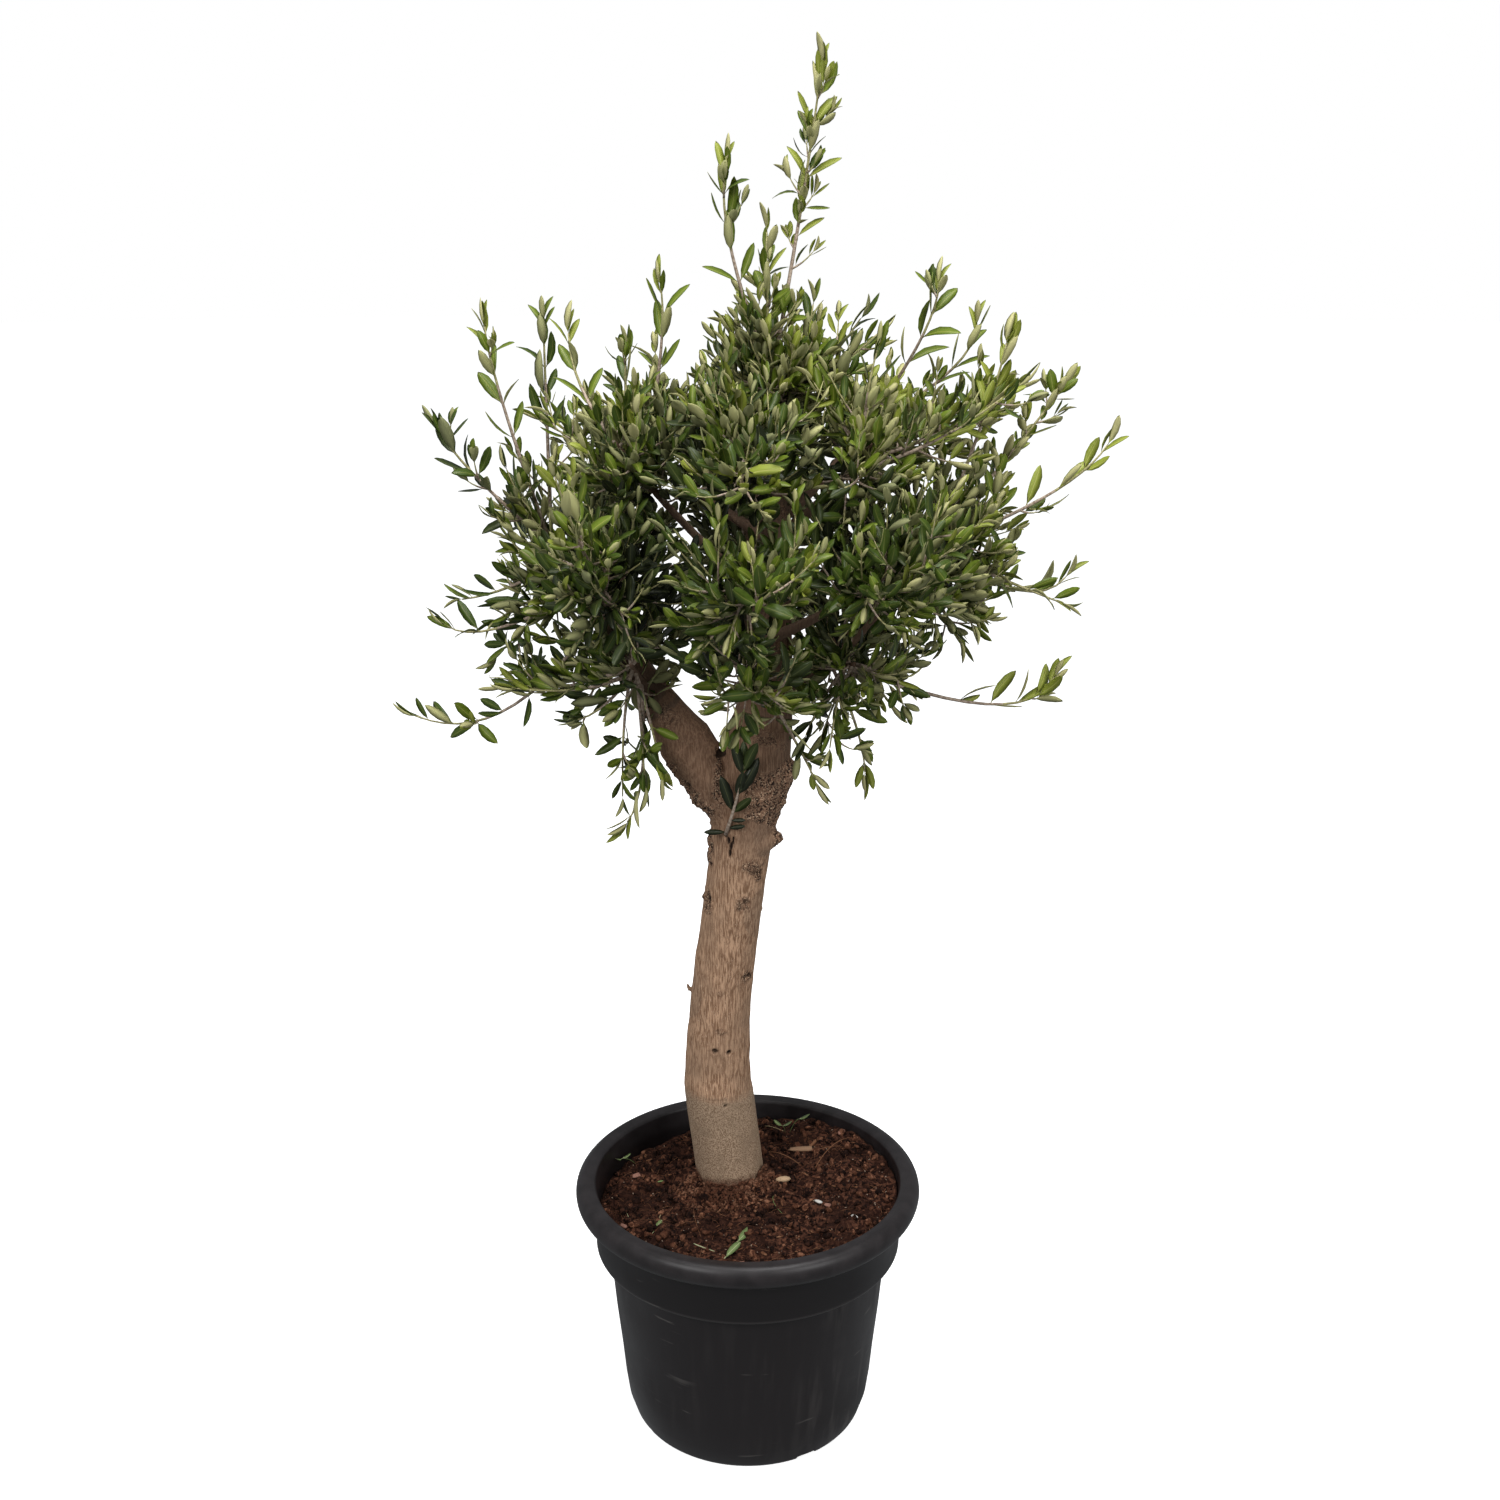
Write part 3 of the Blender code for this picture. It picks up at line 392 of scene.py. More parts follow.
class Heap:
    """Copies of small shapes, joined into one mesh."""

    def __init__(self):
        self.points, self.corners, self.sizes, self.slots = [], [], [], []
        self.count = 0

    def add(self, shape, places, slots):
        """One copy at each place, with a material slot for each kind of face."""
        places = np.array(places)
        across = places[:, :3, :3].transpose(0, 2, 1)
        points = shape.points @ across + places[:, None, :3, 3]
        firsts = self.count + len(shape.points) * np.arange(len(places))
        self.points.append(points.reshape(-1, 3))
        self.corners.append((shape.corners + firsts[:, None]).ravel())
        self.sizes.append(np.tile(shape.sizes, len(places)))
        self.slots.append(np.array(slots)[:, shape.kinds].ravel())
        self.count += len(places) * len(shape.points)

    def add_limb(self, limb, steps, sides, slots, young_from=1.0, sink=0.0):
        """A round limb, which takes its second slot from a share of its length on."""
        bm, rings = drawn_out(circle_section(sides), limb.places(steps, sink))
        young = {face for ring in rings[int(young_from * steps):] for face in ring}
        self.add(Shape(bm, lambda face: int(face in young)), [np.eye(4)], [slots])

    def build(self, name, materials):
        corners = np.concatenate(self.corners)
        sizes = np.concatenate(self.sizes)
        mesh = bpy.data.meshes.new(name)
        mesh.vertices.add(self.count)
        mesh.loops.add(len(corners))
        mesh.polygons.add(len(sizes))
        mesh.vertices.foreach_set("co", np.concatenate(self.points).ravel())
        mesh.loops.foreach_set("vertex_index", corners)
        mesh.polygons.foreach_set("loop_start", np.concatenate(([0], np.cumsum(sizes)[:-1])))
        for material in materials:
            mesh.materials.append(material)
        mesh.polygons.foreach_set("material_index", np.concatenate(self.slots))
        mesh.update(calc_edges=True)
        mesh.shade_smooth()
        return in_scene(name, mesh)


def feed(tree, node, sockets):
    """Set a node's sockets to numbers, or link them to the outputs of others."""
    for name, value in sockets.items():
        if isinstance(value, bpy.types.NodeSocket):
            tree.links.new(value, node.inputs[name])
        else:
            node.inputs[name].default_value = value


def add_node(tree, kind, sockets, **settings):
    node = tree.nodes.new("ShaderNode" + kind)
    for name, value in settings.items():
        setattr(node, name, value)
    feed(tree, node, sockets)
    return node


# Sockets of a Mix node that blends colours: share, first and second, and the result
COLOUR_MIX_INPUTS = (0, 6, 7)
COLOUR_MIX_OUTPUT = 2


class Finish:
    """A material with its nodes, read from Object coordinates."""

    def __init__(self, name, colour, roughness, specular=0.5):
        self.material = bpy.data.materials.new(name)
        self.material.use_nodes = True
        self.tree = self.material.node_tree
        self.shader = self.tree.nodes["Principled BSDF"]
        self.feed({"Base Color": (*colour, 1.0), "Roughness": roughness, "Specular IOR Level": specular})
        self.coordinates = self.node("TexCoord", {}).outputs["Object"]

    def feed(self, sockets):
        """Set sockets of the shader."""
        feed(self.tree, self.shader, sockets)

    def node(self, kind, sockets, **settings):
        return add_node(self.tree, kind, sockets, **settings)

    def noise(self, scale, detail=4.0, stretch=(1.0, 1.0, 1.0), distortion=0.0):
        place = self.node("Mapping", {"Vector": self.coordinates, "Scale": stretch})
        return self.node("TexNoise", {"Vector": place.outputs["Vector"], "Scale": scale,
                                      "Detail": detail, "Distortion": distortion}).outputs["Fac"]

    def along(self, axis):
        return self.node("SeparateXYZ", {"Vector": self.coordinates}).outputs[axis]

    def attribute(self, name):
        return self.node("Attribute", {}, attribute_name=name).outputs["Fac"]

    def between(self, value, low, high, to_low=0.0, to_high=1.0):
        """The value's place between two limits, as a share."""
        sockets = {"Value": value, "From Min": low, "From Max": high, "To Min": to_low, "To Max": to_high}
        return self.node("MapRange", sockets, interpolation_type="SMOOTHSTEP").outputs["Result"]

    def maths(self, operation, first, second=0.0):
        return self.node("Math", {0: first, 1: second}, operation=operation).outputs["Value"]

    def times(self, first, *others):
        for other in others:
            first = self.maths("MULTIPLY", first, other)
        return first

    def distance(self, value, level):
        return self.maths("ABSOLUTE", self.maths("SUBTRACT", value, level))

    def blend(self, share, first, second):
        """Two colours, blended by a share."""
        first, second = [(*one, 1.0) if isinstance(one, tuple) else one for one in (first, second)]
        sockets = dict(zip(COLOUR_MIX_INPUTS, (share, first, second)))
        return self.node("Mix", sockets, data_type="RGBA").outputs[COLOUR_MIX_OUTPUT]

    def over(self, colour, value, low, high, second, share=1.0):
        """A second colour laid over the first as a value goes from one limit to the other."""
        return self.blend(self.between(value, low, high, 0.0, share), colour, second)

    def coloured(self, colour):
        """The material, once it has this colour."""
        self.feed({"Base Color": colour})
        return self.material

    def relief(self, height, distance, strength):
        """Bump from a height, on top of any relief that is already there."""
        bump = self.node("Bump", {"Height": height, "Distance": distance, "Strength": strength})
        for link in list(self.shader.inputs["Normal"].links):
            feed(self.tree, bump, {"Normal": link.from_socket})
        self.feed({"Normal": bump.outputs["Normal"]})


def plain_finish(name, colour, roughness, specular):
    return Finish(name, colour, roughness, specular).material


def bark_finish():
    """Dry bark: fine upright fibres, flecks and dark crusts, with a smoother grey band at the foot."""
    finish = Finish("bark_skin", (0.29, 0.18, 0.115), 0.85, 0.2)
    fibres = finish.noise(620.0, 4.0, (1.0, 1.0, 0.09), 0.4)
    flecks = finish.noise(1150.0, 3.0, (1.0, 1.0, 0.3))
    clouds = finish.noise(15.0)
    streaks = finish.noise(95.0, 4.0, (1.0, 1.0, 0.12), 0.3)
    speckles = finish.noise(640.0, 3.0)
    stains = finish.noise(36.0)
    scales = finish.noise(250.0, 5.0, (1.0, 1.0, 0.6), 1.2)
    cracks = finish.distance(finish.noise(230.0, 3.0, (1.0, 1.0, 0.16), 0.8), 0.5)
    tan = finish.over((0.235, 0.13, 0.074), fibres, 0.4, 0.6, (0.56, 0.35, 0.222))
    tan = finish.over(tan, flecks, 0.6, 0.74, (0.68, 0.49, 0.34))
    tan = finish.over(tan, streaks, 0.54, 0.74, (0.265, 0.15, 0.09), 0.65)
    tan = finish.over(tan, clouds, 0.46, 0.7, (0.35, 0.225, 0.145), 0.6)
    tan = finish.over(tan, cracks, 0.03, 0.008, (0.18, 0.098, 0.058), 0.45)
    beige = finish.over((0.225, 0.148, 0.092), speckles, 0.42, 0.58, (0.48, 0.34, 0.232))
    beige = finish.over(beige, stains, 0.45, 0.7, (0.27, 0.19, 0.125), 0.6)
    level = finish.maths("ADD", finish.along("Z"), finish.times(finish.noise(60.0), 0.024))
    skin = finish.over(beige, level, *BAND_TOP, tan)
    grey = finish.over((0.15, 0.105, 0.075), fibres, 0.35, 0.65, (0.26, 0.195, 0.14))
    skin = finish.blend(finish.attribute("thin"), skin, grey)
    # Painted shade: the bark darkens from below the fork upwards, standing for the crown's shade over the
    # fork and boughs
    skin = finish.over(skin, level, *FORK_PAINTED_SHADE, (0.118, 0.066, 0.041), 0.66)
    dark = finish.over((0.02, 0.009, 0.006), scales, 0.43, 0.56, (0.25, 0.142, 0.088))
    dark = finish.over(dark, speckles, 0.55, 0.64, (0.56, 0.39, 0.26))
    skin = finish.blend(finish.attribute("crust"), skin, dark)
    skin = finish.blend(finish.attribute("pit"), skin, (0.02, 0.011, 0.007))
    dirt = finish.over((0.05, 0.021, 0.012), speckles, 0.42, 0.6, (0.175, 0.085, 0.05))
    skin = finish.over(skin, level, SOIL_LINE + 0.036, SOIL_LINE + 0.022, dirt, 0.95)
    finish.relief(fibres, 0.0008, 0.55)
    finish.relief(streaks, 0.002, 0.45)
    finish.relief(scales, 0.0012, 0.35)
    return finish.coloured(skin)


def pot_finish():
    """Satin black plastic, dusty on its right side, with faint streaks and scratches; painted shade above
    the collar's step, a painted highlight along the step, and dust with painted sheen on the rim's top.
    """
    finish = Finish("moulded_black", (0.013, 0.0104, 0.011), 0.42, 0.36)
    mottle = finish.noise(9.0, 5.0)
    drags = finish.noise(70.0, 3.0, (1.0, 1.0, 0.05))
    scratches = finish.noise(160.0, 2.0, (0.1, 0.1, 1.0), 0.5)
    height = finish.along("Z")
    dust = finish.times(finish.between(mottle, 0.36, 0.66), finish.between(drags, 0.42, 0.66),
                        finish.between(finish.along("X"), 0.04, 0.15, 0.15, 1.0))
    # The rim's top is lightened: partly dust, partly painted sheen where the rim faces the lamps above
    rim_dust_and_sheen = finish.times(finish.between(height, 0.306, 0.322),
                            finish.between(finish.noise(45.0, 6.0), 0.3, 0.7, 0.25, 0.85))
    rubbed = finish.times(finish.between(scratches, 0.66, 0.74),
                          finish.between(finish.noise(11.0, 2.0), 0.52, 0.62))
    colour = finish.blend(dust, (0.0118, 0.009, 0.0096), (0.058, 0.051, 0.049))
    # Painted shade: the collar and the rim above the step are darker, standing for the shade under the
    # rim
    colour = finish.over(colour, height, COLLAR_BOTTOM - 0.006, COLLAR_BOTTOM + 0.006,
                         (0.008, 0.0062, 0.0066))
    # Painted highlight: a lighter line along the collar's step, where its edge catches the light
    colour = finish.over(colour, finish.distance(height, COLLAR_BOTTOM), 0.0028, 0.0006,
                         (0.033, 0.029, 0.0285), 0.7)
    colour = finish.blend(rim_dust_and_sheen, colour, (0.025, 0.0205, 0.0215))
    colour = finish.blend(rubbed, colour, (0.075, 0.068, 0.063))
    finish.feed({"Roughness": finish.between(mottle, 0.3, 0.72, 0.36, 0.56)})
    finish.relief(mottle, 0.0012, 0.35)
    finish.relief(finish.noise(900.0, 2.0), 0.00012, 0.35)
    return finish.coloured(colour)


def soil_finish(name, dark, light):
    """Moist crumbly soil with light specks."""
    finish = Finish(name, dark, 0.95, 0.12)
    lumps = finish.noise(190.0, 6.0, distortion=0.4)
    colour = finish.over(dark, lumps, 0.45, 0.6, light)
    colour = finish.over(colour, finish.noise(24.0), 0.38, 0.62, dark, 0.8)
    colour = finish.over(colour, finish.noise(1300.0, 2.0), 0.7, 0.76, (0.26, 0.15, 0.105), 0.8)
    finish.relief(lumps, 0.003, 0.9)
    finish.relief(finish.noise(620.0), 0.0008, 0.9)
    return finish.coloured(colour)


def build_camera():
    data = bpy.data.cameras.new("camera")
    data.lens = CAMERA_LENS
    data.sensor_width = CAMERA_SENSOR
    camera = in_scene("camera", data)
    camera.location = CAMERA_PLACE
    camera.rotation_euler = (math.radians(90.0 - CAMERA_PITCH), 0.0, 0.0)
    bpy.context.scene.camera = camera


def build_stage():
    """A white floor, an even white sky and three large soft lamps."""
    bm = bmesh.new()
    bmesh.ops.create_circle(bm, cap_ends=True, segments=64, radius=FLOOR_RADIUS)
    finish = Finish("floor_white", (0.93, 0.93, 0.93), 0.9, 0.1)
    finish.feed({"Emission Color": WHITE, "Emission Strength": FLOOR_GLOW})
    floor = mesh_object("floor", bm, [finish.material])
    floor.visible_diffuse = False
    floor.visible_glossy = False
    world = bpy.data.worlds.new("studio")
    world.use_nodes = True
    tree = world.node_tree
    fill = tree.nodes["Background"]
    feed(tree, fill, {"Color": (0.93, 0.97, 1.0, 1.0), "Strength": SKY_FILL})
    seen = add_node(tree, "Background", {"Color": WHITE})
    path = add_node(tree, "LightPath", {})
    mix = add_node(tree, "MixShader", {0: path.outputs["Is Camera Ray"], 1: fill.outputs["Background"],
                                       2: seen.outputs["Background"]})
    feed(tree, tree.nodes["World Output"], {"Surface": mix.outputs["Shader"]})
    bpy.context.scene.world = world
    for name, place, aim_height, size, power in LAMPS:
        data = bpy.data.lights.new(name, "AREA")
        data.shape = "DISK"
        data.size = size
        data.energy = power
        lamp = in_scene(name, data)
        lamp.location = place
        aim = Vector((0.0, 0.0, aim_height)) - Vector(place)
        lamp.rotation_euler = aim.to_track_quat("-Z", "Y").to_euler()
    bpy.context.scene.view_settings.view_transform = "Standard"


def curve_point(start, control, end, share):
    rest = 1.0 - share
    return start * rest * rest + control * 2.0 * rest * share + end * share * share


class Limb:
    """A tapering limb on a quadratic curve."""

    def __init__(self, start, control, end, radii, taper=1.0):
        self.start, self.control, self.end, self.radii, self.taper = start, control, end, radii, taper

    def point(self, share):
        return curve_point(self.start, self.control, self.end, share)

    def direction(self, share):
        return (self.point(share + 0.01) - self.point(share - 0.01)).normalized()

    def radius(self, share):
        foot, tip = self.radii
        return tip + (foot - tip) * (1.0 - share) ** self.taper

    def places(self, steps, sink=0.0):
        """Places of its rings; sink starts it inside of what carries it, as a share of its length."""
        shares = [-sink + (1.0 + sink) * index / steps for index in range(steps + 1)]
        return limb_places([self.point(share) for share in shares],
                           [self.radius(max(share, 0.0)) for share in shares])


def hearts():
    """The middle of each mass of foliage, by name."""
    places = {}
    squash = CROWN_RADII.y / CROWN_RADII.x
    for tier, (count, distance, height, first) in (("middle", MIDDLE_TIER), ("upper", UPPER_TIER),
                                                    ("lower", LOWER_TIER)):
        for index in range(count):
            bearing = math.radians(first + 360.0 * index / count)
            label = COMPASS[index] if count == len(COMPASS) else str(index + 1)
            x = CROWN_CENTRE.x + distance * math.cos(bearing)
            places[f"{tier}_{label}"] = Vector((x, distance * squash * math.sin(bearing), height))
    places["top"] = TOP_HEART
    return places


def rising_control(start, end):
    control = (start + end) / 2
    control.z -= BOUGH_RISE * (end - start).length
    return control


def split_limb(whole, bare_share):
    """The bare part of a limb, and the leafy stem that goes on to the heart."""
    middle = whole.point(bare_share)
    bare_control = whole.start.lerp(whole.control, bare_share)
    bare = Limb(whole.start, bare_control, middle, whole.radii, whole.taper)
    onward = (middle - bare_control).normalized()
    leafy_control = whole.control.lerp(whole.end, bare_share)
    stem_control = middle + onward * (leafy_control - middle).length
    stem = Limb(middle, stem_control, whole.end, (whole.radii[1], STEM_TIP_RADIUS))
    return bare, stem


def arm_end(stations):
    last, before = [Vector((x, y, z)) for z, x, y, radius in (stations[-1], stations[-2])]
    return last, (last - before).normalized()


def build_limbs(places):
    """Every bough and branch, and the stem that goes on from each into its mass."""
    limbs = {}
    stems = {}
    for name, stations in (("bough_left", FORK_ARM_STATIONS), ("bough_middle", TRUNK_STATIONS)):
        mass, radii, reach = FORK_BOUGHS[name]
        start, onward = arm_end(stations)
        whole = Limb(start, start + onward * reach, places[mass], radii, FORK_BOUGH_TAPER)
        limbs[name], stems[mass] = split_limb(whole, BOUGH_BARE_SHARE)
    for name, (share, mass, radii) in SIDE_BOUGHS.items():
        start = limbs["bough_middle"].point(share)
        whole = Limb(start, rising_control(start, places[mass]), places[mass], radii)
        limbs[name], stems[mass] = split_limb(whole, BOUGH_BARE_SHARE)
    for mass, (bough, share) in BRANCHES.items():
        start = limbs[bough].point(share)
        whole = Limb(start, rising_control(start, places[mass]), places[mass], BRANCH_RADII)
        limbs["branch_" + mass], stems[mass] = split_limb(whole, BRANCH_BARE_SHARE)
    return limbs, stems


def crown_surface(direction):
    """How far the crown body reaches in a direction."""
    total = sum(abs(direction[axis] / CROWN_RADII[axis]) ** CROWN_SQUARENESS for axis in range(3))
    return total ** (-1.0 / CROWN_SQUARENESS)


def depth_in_crown(point):
    """How far out a point lies: 0 in the crown's middle, 1 on its surface."""
    offset = point - CROWN_CENTRE
    direction = offset.normalized()
    return offset.length / (crown_surface(direction) * trimmed(direction))


def trimmed(direction):
    """The share of the crown's reach that is left in a direction."""
    left = 1.0 - SHOULDER_TRIM * max(0.0, direction.z) * abs(direction.x)
    return left + LEFT_TRIM * min(0.0, direction.x) - RIGHT_TRIM * max(0.0, direction.x)


def golden_way(index, slope):
    """The direction of one tip of an even spread, by its slope."""
    across = math.sqrt(1.0 - slope * slope)
    bearing = index * GOLDEN_ANGLE
    return Vector((across * math.cos(bearing), across * math.sin(bearing), slope))


def shoot_tips(places):
    """Tips of all shoots, by the mass whose space holds them."""
    tips = {name: [] for name in places}

    def add_tip(name, tip):
        nearest = min(places, key=lambda mass: (places[mass] - tip).length)
        tips[nearest].append((name, tip))

    rng = random.Random("tips")
    for index in range(SHOOT_TIPS):
        slope = 1.0 - 2.0 * (index + 0.5) / SHOOT_TIPS
        reach = rng.uniform(*TIP_REACH)
        if slope < LOWEST_TIP_SLOPE or index in MISSING_SHOOTS:
            continue
        way = golden_way(index, slope)
        reach *= trimmed(way)
        add_tip(f"shoot_{index}", CROWN_CENTRE + way * crown_surface(way) * reach)
    for name, (tip, *_) in LONG_SHOOTS.items():
        add_tip(name, Vector(tip))
    for index, tip in enumerate(FILL_TIPS):
        add_tip(f"fill_{index}", Vector(tip))
    rng = random.Random("inner tips")
    for index in range(INNER_TIPS):
        way = golden_way(index + 0.5, 1.0 - 1.8 * (index + 0.5) / INNER_TIPS)
        reach = rng.uniform(*INNER_REACH)
        add_tip(f"inner_{index}", CROWN_CENTRE + way * crown_surface(way) * reach)
    return tips


def nearest_on(stems, place):
    """The point of any leafy stem that lies nearest to a place."""
    points = [stem.point(index / 20) for stem in stems.values() for index in range(21)]
    return min(points, key=lambda point: (point - place).length)


def shoot_limb(stems, mass, name, tip):
    """A shoot from its mass's stem to its tip: out and then up, or over and then down."""
    if len(LONG_SHOOTS.get(name, ())) > 1:
        middle, foot = [Vector(place) for place in LONG_SHOOTS[name][1:]]
        start = nearest_on(stems, foot)
        return Limb(start, middle * 2 - (start + tip) / 2, tip, SHOOT_RADII)
    rng = random.Random(name)
    start = stems[mass].point(rng.uniform(*SHOOT_FOOT_RANGE))
    length = (tip - start).length
    control = (start + tip) / 2
    droops = tip.z <= start.z - SHOOT_DROOPS_BELOW * length
    control.z += SHOOT_DROOP_ARCH * length if droops else -SHOOT_SAG * length
    sway = Vector((rng.uniform(-1, 1), rng.uniform(-1, 1), 0.0))
    control += sway * SHOOT_SWAY * length
    return Limb(start, control, tip, SHOOT_RADII)


LEAF_HALF_WIDTH = 0.138
LEAF_FOLD = 0.034
LEAF_KEEL = 0.011
RIB_HALF_WIDTH = 0.009
# Share of the leaf's length, and the leaf's width there as a share of its widest
LEAF_OUTLINE = (
    (0.0, 0.08), (0.09, 0.11), (0.27, 0.72), (0.51, 1.0), (0.76, 0.91), (0.92, 0.5), (1.0, 0.04),
)
# How far each kind of leaf curves back and twists, in shares of its length and radians
LEAF_BENDS = ((-0.05, 0.1), (0.1, -0.25), (0.05, 0.3), (-0.13, -0.05), (0.16, 0.15), (0.02, -0.12))
BLADE, RIB, UNDERSIDE = range(3)


def leaf_shapes():
    """The leaves: a keeled blade drawn out along its outline, then curved and twisted."""
    section = [Vector((x, y, 0.0)) for x, y in (
        (-LEAF_HALF_WIDTH, LEAF_FOLD), (-RIB_HALF_WIDTH, 0.002), (RIB_HALF_WIDTH, 0.002),
        (LEAF_HALF_WIDTH, LEAF_FOLD), (0.0, -LEAF_KEEL))]
    lie_along = Matrix.Rotation(math.radians(-90.0), 4, "X") @ Matrix.Scale(-1.0, 4, (0, 1, 0))
    shapes = []
    for bend, twist in LEAF_BENDS:
        places = []
        for share, width in LEAF_OUTLINE:
            rib_keep = Matrix.Diagonal((width, max(width, 0.35), 1.0, 1.0))
            rise = bend * 4.0 * share * (share - 0.5)
            turn = Matrix.Rotation(twist * share, 4, "Y")
            places.append(Matrix.Translation((0.0, share, rise)) @ turn @ lie_along @ rib_keep)
        shapes.append(Shape(drawn_out(section, places)[0], leaf_face_kind))
    return shapes


def random_turn(rng):
    return Vector((rng.uniform(-1, 1), rng.uniform(-1, 1), rng.uniform(-1, 1)))


def leaf_face_kind(face):
    """Blade, rib or underside."""
    centre = face.calc_center_median()
    if face.normal.z < 0.0:
        return UNDERSIDE
    return RIB if abs(centre.x) < RIB_HALF_WIDTH or centre.y < 0.06 else BLADE


# Roughness, and colours of blade, rib and underside, from the darkest tone to the lightest: they paint
# shade inside the crown and light outside it, and stand for older and younger leaves as well
LEAF_TONES = {
    "deep": (0.36, (0.015, 0.02, 0.008), (0.052, 0.06, 0.022), (0.085, 0.094, 0.044)),
    "dark": (0.36, (0.031, 0.046, 0.01), (0.086, 0.098, 0.03), (0.18, 0.188, 0.088)),
    "green": (0.38, (0.051, 0.084, 0.01), (0.142, 0.158, 0.036), (0.265, 0.268, 0.122)),
    "fresh": (0.42, (0.11, 0.156, 0.013), (0.232, 0.242, 0.05), (0.365, 0.358, 0.16)),
    "young": (0.46, (0.225, 0.262, 0.035), (0.365, 0.365, 0.1), (0.425, 0.405, 0.19)),
}
YOUNGEST = len(LEAF_TONES) - 1
# How the tone of a spray follows its depth in the crown, its height, its side and chance: painted shade
# inside and on the left, painted light outside, away from the middle height and on the right
PAINTED_LIGHT_BY_DEPTH = 2.8
TONE_MIDDLE_DEPTH = 0.58
PAINTED_LIGHT_BY_SIDE = 0.9
TONE_SCATTER = 0.45


def leaf_materials():
    """Plain finishes for each tone's blade, rib and underside, in the order of the slots."""
    materials = []
    for tone, (gloss, *colours) in LEAF_TONES.items():
        for face, colour, roughness, specular in zip(("blade", "rib", "underside"), colours,
                                                     (gloss, gloss + 0.05, 0.7), (0.3, 0.3, 0.15)):
            materials.append(plain_finish(f"leaf_{tone}_{face}", colour, roughness, specular))
    return materials


def leaf_place(foot, direction, facing, length, width):
    """Where a leaf sits: its foot, its way, the way its face turns, its length and its width."""
    side = direction.cross(facing).normalized()
    normal = side.cross(direction)
    place = Matrix((side * length * width, direction * length, normal * length)).transposed().to_4x4()
    place.translation = foot
    return place


class Spray:
    """Leaves and twigs of one part of the crown, gathered for two joined pieces."""

    def __init__(self, shapes):
        self.leaves = [(shape, [], []) for shape in shapes]
        self.twigs = Heap()

    def add_leaf(self, rng, foot, direction, facing, length, tone, plump=1.0):
        place = leaf_place(foot, direction, facing, length, plump * rng.uniform(0.88, 1.1))
        shape, places, slots = self.leaves[rng.randrange(len(self.leaves))]
        places.append(place)
        slots.append((3 * tone, 3 * tone + 1, 3 * tone + 2))

    def build(self, name, nodes, leaf_finishes, twig_finishes):
        heap = Heap()
        for shape, places, slots in self.leaves:
            if places:
                heap.add(shape, places, slots)
        finish_piece(heap.build("leaves_" + name, leaf_finishes), nodes)
        finish_piece(self.twigs.build("twigs_" + name, twig_finishes))


def tone_of(rng, point, age):
    """Tone of a spray: painted light outside, away from the crown's middle height (more above it) and on
    the right, painted shade inside and on the left; age and chance shift it too.
    """
    depth = min(depth_in_crown(point), 1.0)
    height = min(point.z, CROWN_CENTRE.z + CROWN_RADII.z) - CROWN_CENTRE.z
    exposure = PAINTED_LIGHT_BY_DEPTH * (depth - TONE_MIDDLE_DEPTH) + max(height, -0.6 * height)
    exposure += PAINTED_LIGHT_BY_SIDE * point.x + age + rng.gauss(0.0, TONE_SCATTER)
    return max(0, min(YOUNGEST, int(1.0 + exposure * 1.5)))


def turned_across(limb, share, turn):
    """The way of a limb at a share of its length, and a direction across it, turned about it."""
    along = limb.direction(share)
    across = along.orthogonal().normalized()
    across.rotate(Matrix.Rotation(turn, 3, along))
    return along, across


def leafy(spray, rng, limb, shares, spacing, spread, size, tone, plump):
    """Crossed pairs of leaves between two shares of a limb, and a pair at its end."""
    first, last = shares
    count = max(1, round((last - first) * (limb.end - limb.start).length / spacing))
    turn = rng.uniform(0.0, math.pi)
    for index in range(count + 1):
        share = first + (last - first) * index / count
        near_end = index / count
        along, across = turned_across(limb, share, turn + index * math.pi / 2 + rng.uniform(-0.3, 0.3))
        for side in (1.0, -1.0):
            if rng.random() < LOST_LEAVES * (1.0 - near_end):
                continue
            open_by = spread * (1.15 - 0.55 * near_end) + rng.uniform(-0.22, 0.22)
            outward = across * side
            lift = LEAF_LIFT[0] + LEAF_LIFT[1] * (1.0 - abs(along.z))
            direction = along * math.cos(open_by) + outward * math.sin(open_by) + UP * lift
            direction = (direction + random_turn(rng) * 0.11).normalized()
            foot = limb.point(share) + outward * limb.radius(share) * 0.5
            to_sky, to_viewer = (0.25, 0.5) if depth_in_crown(foot) > CROWN_EDGE else (0.85, 0.05)
            to_light = (foot - CROWN_CENTRE).normalized() * to_sky + BRIGHT_SIDE * to_viewer
            facing = along * 0.45 + UP * 0.6 - outward * 0.35 + to_light + random_turn(rng) * 0.55
            length = size * rng.uniform(0.8, 1.15) * (1.0 - 0.25 * near_end ** 3)
            younger = 1 if near_end > 0.7 and rng.random() < 0.6 else 0
            spray.add_leaf(rng, foot, direction, facing.normalized(), length,
                           min(YOUNGEST, tone + younger), plump)
    along = limb.direction(1.0)
    for side in (1.0, -1.0):
        outward = along.orthogonal().normalized() * side
        direction = (along + outward * 0.22 + random_turn(rng) * 0.1).normalized()
        spray.add_leaf(rng, limb.end, direction, outward * -1.0 + UP * 0.1,
                       size * rng.uniform(0.55, 0.8), min(YOUNGEST, tone + 1), plump)


